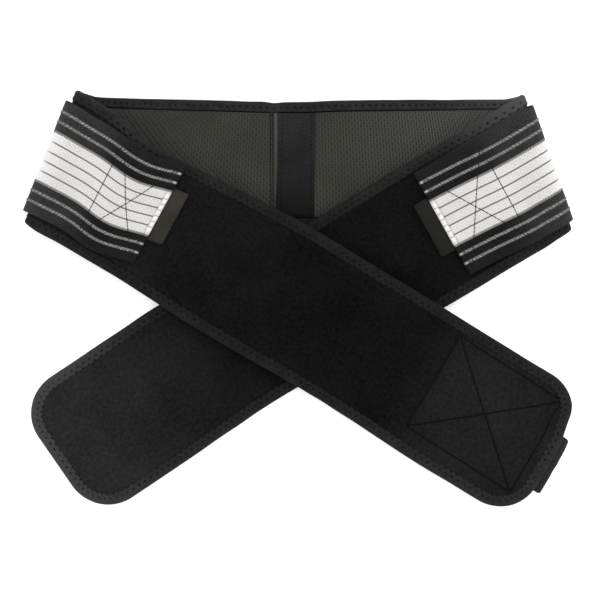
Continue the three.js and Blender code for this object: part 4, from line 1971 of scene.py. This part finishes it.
    def build(self) -> None:
        """Builds the strap."""
        half, middle = self.width / 2, STRAP_THICKNESS / 2
        hem_start = self.end - self.hem_length
        plain = np.linspace(self.start, self.free_from, self.plain_rows)
        free = np.linspace(self.free_from, hem_start, int((self.end - self.free_from) / self.row_step))
        hem = np.linspace(hem_start, self.end, self.hem_rows)
        reach = np.concatenate([plain, free[1:], hem[1:]])[:, None]
        before_end = self.end - reach
        fold = round_off(before_end, self.hem_round, 0.01)
        place, across = np.broadcast_arrays(reach, self.columns())
        brow = round_off(half - np.abs(across), self.side_round, 0.04)
        height = middle + (self.relief(place, across) - middle) * brow * fold
        scallop = self.scallop * (self.bead(across) - 1) * ease(before_end, self.scallop_length, 0)
        top = self.place(place + scallop, across, height)
        under = np.linspace(half - self.under_margin, -half + self.under_margin, self.under_columns)
        below, below_across = np.broadcast_arrays(reach, under)
        low = self.place(below, below_across, middle * (1 - fold))
        cloth = ClothMesh(f"elastic_{self.side.word}")
        faces = [cloth.add(top, place, across), cloth.add(low, below, below_across)]
        cloth.tube(np.concatenate(faces, axis=1), flip=self.side is Side.RIGHT)
        piece = settle(cloth.build(self.finishes.elastic), Slot.ELASTIC, f"elastic_strap_{self.side.word}")
        f"padded_band_{self.side.word}"

    def weave_lines(self) -> None:
        """Lays the raised white yarn of the dotted lines and of the white zone's edges."""
        first, last = self.free_from + 2 * MM, self.end - 4.6 * MM
        places = np.arange(first, last, self.yarn_pitch)[:, None]
        teeth = np.arange(first, last, TOOTH_PITCH)[:, None]
        cloth = ClothMesh(f"stripe_yarn_{self.side.word}")
        yarn = Thread(radius=0.6 * MM, rise=0.1 * MM, sink=0.35 * MM)
        tooth = Thread(radius=0.3 * MM, rise=-0.1 * MM, sink=0.25 * MM)
        t = np.linspace(-0.5, 0.5, yarn.rings)
        chance = np.random.default_rng(self.yarn_seed)
        for middle in both_sides(ROPE_MIDDLES):
            stray = chance.uniform(-self.yarn_stray, self.yarn_stray, (2, len(places), 1)) * MM
            length = chance.uniform(0.7, 1.2, (len(places), 1))
            along = places + stray[0] + t * length * 1.6 * MM
            across = middle + stray[1] + t * length * 1.7 * MM
            yarn.lay(cloth, self.place, along, across, self.relief(along, across))
        for sign in (-1, 1):
            along = teeth + t * 0.7 * MM
            across = np.broadcast_to(sign * (WHITE_HALF + t * 0.8 * MM), along.shape)
            tooth.lay(cloth, self.place, along, across, self.relief(along, across))
        settle(cloth.build(self.finishes.white_yarn), Slot.ELASTIC)

    def pinch_hem(self) -> None:
        """Sews the hem: a pale line, short stitches between its beads and a nub on each dotted line."""
        cloth = ClothMesh(f"hem_stitches_{self.side.word}")
        line = Thread(radius=0.3 * MM, rise=0.1 * MM, sink=0.1 * MM, pitch=2.3 * MM, gap=0.5 * MM)
        path = np.array([(self.box.far, -WHITE_HALF), (self.box.far, WHITE_HALF)])
        line.sew(cloth, self.place, path, self.relief)
        pinch = Thread(radius=0.22 * MM, rise=0.2 * MM, sink=0.05 * MM)
        nub = Thread(radius=0.85 * MM, rise=0.1 * MM, sink=0.5 * MM)
        for thread, middles, start, end in (
            (pinch, self.pinches(), 3.2 * MM, 0.9 * MM),
            (nub, both_sides(ROPE_MIDDLES), 3.4 * MM, 0.4 * MM),
        ):
            reach = self.end - np.linspace(start, end, thread.rings)
            along, across = np.broadcast_arrays(reach, middles[:, None])
            thread.lay(cloth, self.place, along, across, self.relief(along, across))
        settle(cloth.build(self.finishes.hem_thread), Slot.ELASTIC)

    def sew(self) -> None:
        """Sews the box and its diagonals; the hem stands for the box's far side."""
        thread = Thread(radius=0.33 * MM, rise=0.2 * MM, sink=-0.04 * MM, pitch=2.9 * MM, gap=0.05 * MM)
        cloth = ClothMesh(f"strap_stitches_{self.side.word}")
        near, _, *others = self.box.lines()
        for line in (near, *others):
            thread.sew(cloth, self.place, line, self.relief)
        settle(cloth.build(self.finishes.grey_thread), Slot.ELASTIC)


@dataclass
class SewnEnd:
    """A small piece sewn under an end, in the distances of the surface that carries it."""

    name: str
    node: str
    under: str
    material: Material
    place: Placing
    near: float
    far: float
    width: float
    top: float
    flip: bool

    def close(self, points: Array, flat: tuple[Array, Array], slot: Slot, hold: Hold) -> None:
        """Makes the piece.

        Args:
            points: The points, in rings.
            flat: Their two flat distances.
            slot: Its material slot; settle does not use it.
            hold: Not used.
        """
        cloth = ClothMesh(self.name)
        cloth.tube(cloth.add(points, *flat), flip=self.flip)
        piece = settle(cloth.build(self.material), slot, self.node)


@dataclass
class GripTab(SewnEnd):
    """A short grip tab: a ribbon folded double, its round fold outwards."""

    slot: Slot
    thickness: float
    bulge: float
    round_length: float
    fold_radius: float = 0.7 * MM
    fold_steps: int = 8
    corner: float = 1.8 * MM
    ripple: float = 0.12 * MM
    ripple_length: float = 4 * MM
    flat_steps: int = 30
    plain_margin: float = 2.5 * MM
    plain_rows: int = 50

    def build(self) -> None:
        """Builds the tab."""
        half, deep = self.width / 2, self.thickness / 2
        ends = np.array([0, 0.15, 0.4, 0.8, 1.3, 1.8]) * MM
        plain = np.linspace(-half + self.plain_margin, half - self.plain_margin, self.plain_rows)
        across = np.concatenate([-half + ends, plain, half - ends[::-1]])[:, None]
        flat = np.linspace(self.near, self.far - self.fold_radius, self.flat_steps)
        turn = np.linspace(0, np.pi, self.fold_steps + 1)[1:-1]
        reach = np.concatenate([flat, self.far - self.fold_radius * (1 - np.sin(turn)), flat[::-1]])
        level = np.concatenate([0 * flat + deep, deep * np.cos(turn), 0 * flat - deep])
        away = 2 * np.abs(reach - self.far + self.round_length / 2) / self.round_length
        shown = np.sqrt(np.clip(1 - away**2, 0, 1)) * (level > 0)
        side = np.sqrt(np.clip(1 - (np.abs(across) / half) ** 14, 0.02, 1))
        height = self.top - deep + (level + self.bulge * shown) * side
        over = np.clip((np.abs(across) - half + self.corner) / self.corner, 0, 1)
        rounding = self.corner * (1 - np.sqrt(1 - over**2))
        ripple = self.ripple * sway(across, 2.9 * MM, 1.5, across, 5 * MM)
        fray = (ripple - rounding) * ease(reach, self.far - self.ripple_length, self.far)
        along, spread = np.broadcast_arrays(reach + fray, across)
        self.close(self.place(along, spread, height), (spread, along), self.slot, Hold.FOLDED)


@dataclass
class HookPatch(SewnEnd):
    """A plate of hook fastener with softened edges."""

    bevel: float = 0.25 * MM
    rows: int = 45
    columns: int = 30

    def build(self) -> None:
        """Builds the patch."""
        reach = np.linspace(self.near, self.far, self.rows)
        half, low = self.width / 2, self.top - HOOK_THICKNESS
        wide = np.linspace(-half + self.bevel, half - self.bevel, self.columns)
        across = np.concatenate([[-half], wide, [half, half], wide[::-1], [-half]])
        upper, lower = self.top - self.bevel, low + self.bevel
        level = np.concatenate([[upper], 0 * wide + self.top, [upper, lower], 0 * wide + low, [lower]])
        along, spread, height = np.broadcast_arrays(reach[:, None], across, level)
        self.close(self.place(along, spread, height), (along, spread), Slot.HOOK, Hold.LAID)


class Lamp(NamedTuple):
    """A square soft light that looks at the belt, in metres and watts."""

    name: str
    place: tuple[float, float, float]
    side: float
    power: float

    def hang(self) -> None:
        """Hangs the light."""
        light = bpy.data.lights.new(self.name, "AREA")
        light.size = self.side
        light.energy = self.power
        made = bpy.data.objects.new(self.name, light)
        made.location = self.place
        made.rotation_euler = (-made.location).to_track_quat("-Z", "Y").to_euler()
        bpy.context.scene.collection.objects.link(made)


LAMPS = (
    Lamp("key_light", (0.3, 0.9, 1.7), 1.8, 22),
    Lamp("left_light", (-1.5, -0.2, 1.2), 1.6, 9),
    Lamp("right_light", (1.5, -0.2, 1.2), 1.6, 9),
    Lamp("front_light", (0.0, -1.6, 1.2), 1.6, 9),
)


@dataclass
class Studio:
    """A pale floor, soft lights and the camera over the belt."""

    middle: Array
    floor_half: float = 12.0
    floor_color: Color = grey(0.93)
    floor_glow: float = 0.4
    sky_strength: float = 0.5
    camera_height: float = 1.0
    view_width: float = 0.42
    sensor: float = 36.0

    def floor(self) -> None:
        """Lays the floor."""
        half = self.floor_half
        corners = [(-half, -half, 0), (half, -half, 0), (half, half, 0), (-half, half, 0)]
        mesh = bpy.data.meshes.new("floor")
        mesh.from_pydata(corners, [], [(0, 1, 2, 3)])
        material = bpy.data.materials.new("pale_floor")
        material.use_nodes = True
        shader = material.node_tree.nodes["Principled BSDF"]
        shader.inputs["Base Color"].default_value = self.floor_color
        shader.inputs["Roughness"].default_value = 0.9
        shader.inputs["Emission Color"].default_value = grey(1)
        shader.inputs["Emission Strength"].default_value = self.floor_glow
        mesh.materials.append(material)
        made = bpy.data.objects.new("floor", mesh)
        bpy.context.scene.collection.objects.link(made)

    def sky(self) -> None:
        """Sets an even white sky."""
        world = bpy.data.worlds.new("sky")
        world.use_nodes = True
        sky = world.node_tree.nodes["Background"]
        sky.inputs["Color"].default_value = grey(1)
        sky.inputs["Strength"].default_value = self.sky_strength
        bpy.context.scene.world = world

    def camera(self) -> None:
        """Sets the camera straight over the belt."""
        camera = bpy.data.cameras.new("camera")
        camera.sensor_width = self.sensor
        camera.lens = self.sensor * self.camera_height / self.view_width
        made = bpy.data.objects.new("camera", camera)
        made.location = (self.middle[0], self.middle[1], self.camera_height)
        bpy.context.scene.collection.objects.link(made)
        bpy.context.scene.camera = made

    def build(self) -> None:
        """Sets the floor, the lights, the sky and the camera."""
        self.floor()
        for lamp in LAMPS:
            lamp.hang()
        self.sky()
        self.camera()
        bpy.context.scene.view_settings.view_transform = "Standard"


@dataclass
class HipBelt:
    """The whole belt."""

    end_patch_length: float = 86 * MM
    end_patch_width: float = 73 * MM
    end_patch_inset: float = 14 * MM
    end_patch_across: float = 3 * MM
    box_near_across: float = 3.9 * MM
    box_far_across: float = 2.1 * MM
    end_tab_across: float = -3.5 * MM
    end_tab_width: float = 43 * MM
    end_tab_reach: float = 5.5 * MM
    strap_patch_length: float = 44 * MM
    strap_patch_width: float = 76 * MM
    strap_tab_width: float = 41 * MM
    strap_tab_reach: float = 11 * MM
    strap_tab_tuck: float = 8 * MM

    def __post_init__(self) -> None:
        """Lays the belt's surface where the solids are."""
        self.shift = self.find_shift()
        self.surface = BeltSurface(self.shift)
        end = self.surface.left_end - self.end_patch_inset
        start = end - self.end_patch_length
        self.end_box = StitchBox(
            start, end, self.end_patch_width / 2, self.box_near_across, self.box_far_across
        )
        self.finishes = Finishes(start)

    @staticmethod
    def find_shift() -> Array:
        """Compares the tape's solid with its place in the tables.

        Returns:
            The shift from the tables' origin to the frame's origin.
        """
        plain = BeltSurface(np.zeros(3))
        half, long = CenterTape.width / 2, plain.back_width / 2 - CenterTape.inset
        along, across = np.meshgrid(np.linspace(-half, half, 21), np.linspace(-long, long, 21))
        points = plain.point(along, across, LAYERS.lining_back).reshape(-1, 3)
        planned = (points.min(axis=0) + points.max(axis=0)) / 2
        low, high = (np.array(corner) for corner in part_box("center_tape"))
        shift = (low + high) / 2 - planned
        return np.array([shift[0], shift[1], 0.0])

    def build_band(self) -> None:
        """Builds the bands, the linings, the binding and the tape."""
        for side in Side:
            band = PaddedBand(self.surface, self.finishes, side, self.end_box)
            lining = Lining(self.surface, self.finishes, side)
            band.build()
            if side is Side.LEFT:
                band.sew_end()
            lining.build()
            if side is Side.LEFT:
                lining.sew()
        for piece in (EdgeBinding(self.surface, self.finishes), CenterTape(self.surface, self.finishes)):
            piece.build()
            piece.sew()

    def shifted(self, across: float) -> Placing:
        """The belt's surface with its middle line moved across."""
        return lambda along, spread, offset: self.surface.point(along, across + spread, offset)

    def build_end(self) -> None:
        """Builds the hook patch and the grip tab under the left arm's end."""
        top = LAYERS.lining_back - LAYERS.gap
        HookPatch(
            "end_hooks", "end_hook_patch", under="mesh_lining_left", material=self.finishes.hook,
            place=self.shifted(self.end_patch_across), near=self.end_box.near, far=self.end_box.far,
            width=self.end_patch_width, top=top, flip=False,
        ).build()
        GripTab(
            "end_grip_tab", "end_pull_tab", under="mesh_lining_left", material=self.finishes.tape_tab,
            place=self.shifted(self.end_tab_across), near=self.end_box.far + LAYERS.gap,
            far=self.surface.left_end + self.end_tab_reach, width=self.end_tab_width, top=top, flip=True,
            slot=Slot.BINDING, thickness=TAPE_THICKNESS, bulge=0.6 * MM, round_length=3.6 * MM,
        ).build()

    def build_strap(self, strap: ElasticStrap) -> None:
        """Builds one strap with its yarn, stitching, hook patch and grip tab.

        Args:
            strap: The strap.
        """
        side = strap.side.word
        strap.build()
        strap.weave_lines()
        strap.sew()
        strap.pinch_hem()
        tab_start = STRAP_END - self.strap_tab_tuck
        patch_end = tab_start - LAYERS.gap
        HookPatch(
            f"strap_hooks_{side}", f"strap_hook_patch_{side}", under=f"elastic_{side}",
            material=self.finishes.hook, place=strap.place, near=patch_end - self.strap_patch_length,
            far=patch_end, width=self.strap_patch_width, top=-LAYERS.gap, flip=strap.side is Side.RIGHT,
        ).build()
        GripTab(
            f"grip_tab_{side}", f"pull_tab_{side}", under=f"elastic_{side}", material=self.finishes.tab,
            place=strap.place, near=tab_start, far=STRAP_END + self.strap_tab_reach,
            width=self.strap_tab_width, top=-LAYERS.gap, flip=strap.side is Side.LEFT,
            slot=Slot.TAB, thickness=1.6 * MM, bulge=1.5 * MM, round_length=10.8 * MM,
        ).build()

    def build(self) -> None:
        """Builds every piece."""
        self.build_band()
        self.build_end()
        left = ElasticStrap(
            self.surface, self.finishes, Side.LEFT, LEFT_STRAP_ROWS, box_length=42.5 * MM,
            free_width=0.975, hem_skew=3.6 * MM, end_shift=1.3 * MM,
        )
        right = ElasticStrap(
            self.surface, self.finishes, Side.RIGHT, RIGHT_STRAP_ROWS, box_length=45 * MM,
            free_width=0.998, upper_margin=2.2 * MM, hem_skew=1 * MM,
        )
        for strap in (left, right):
            self.build_strap(strap)


def main() -> None:
    """Builds the belt and its studio."""
    logging.basicConfig(level=logging.INFO, format="%(name)s: %(message)s")
    belt = HipBelt()
    belt.build()
    Studio(belt.shift[:2] + VIEW_MIDDLE).build()
    bpy.context.view_layer.update()


if __name__ == "__main__":
    main()
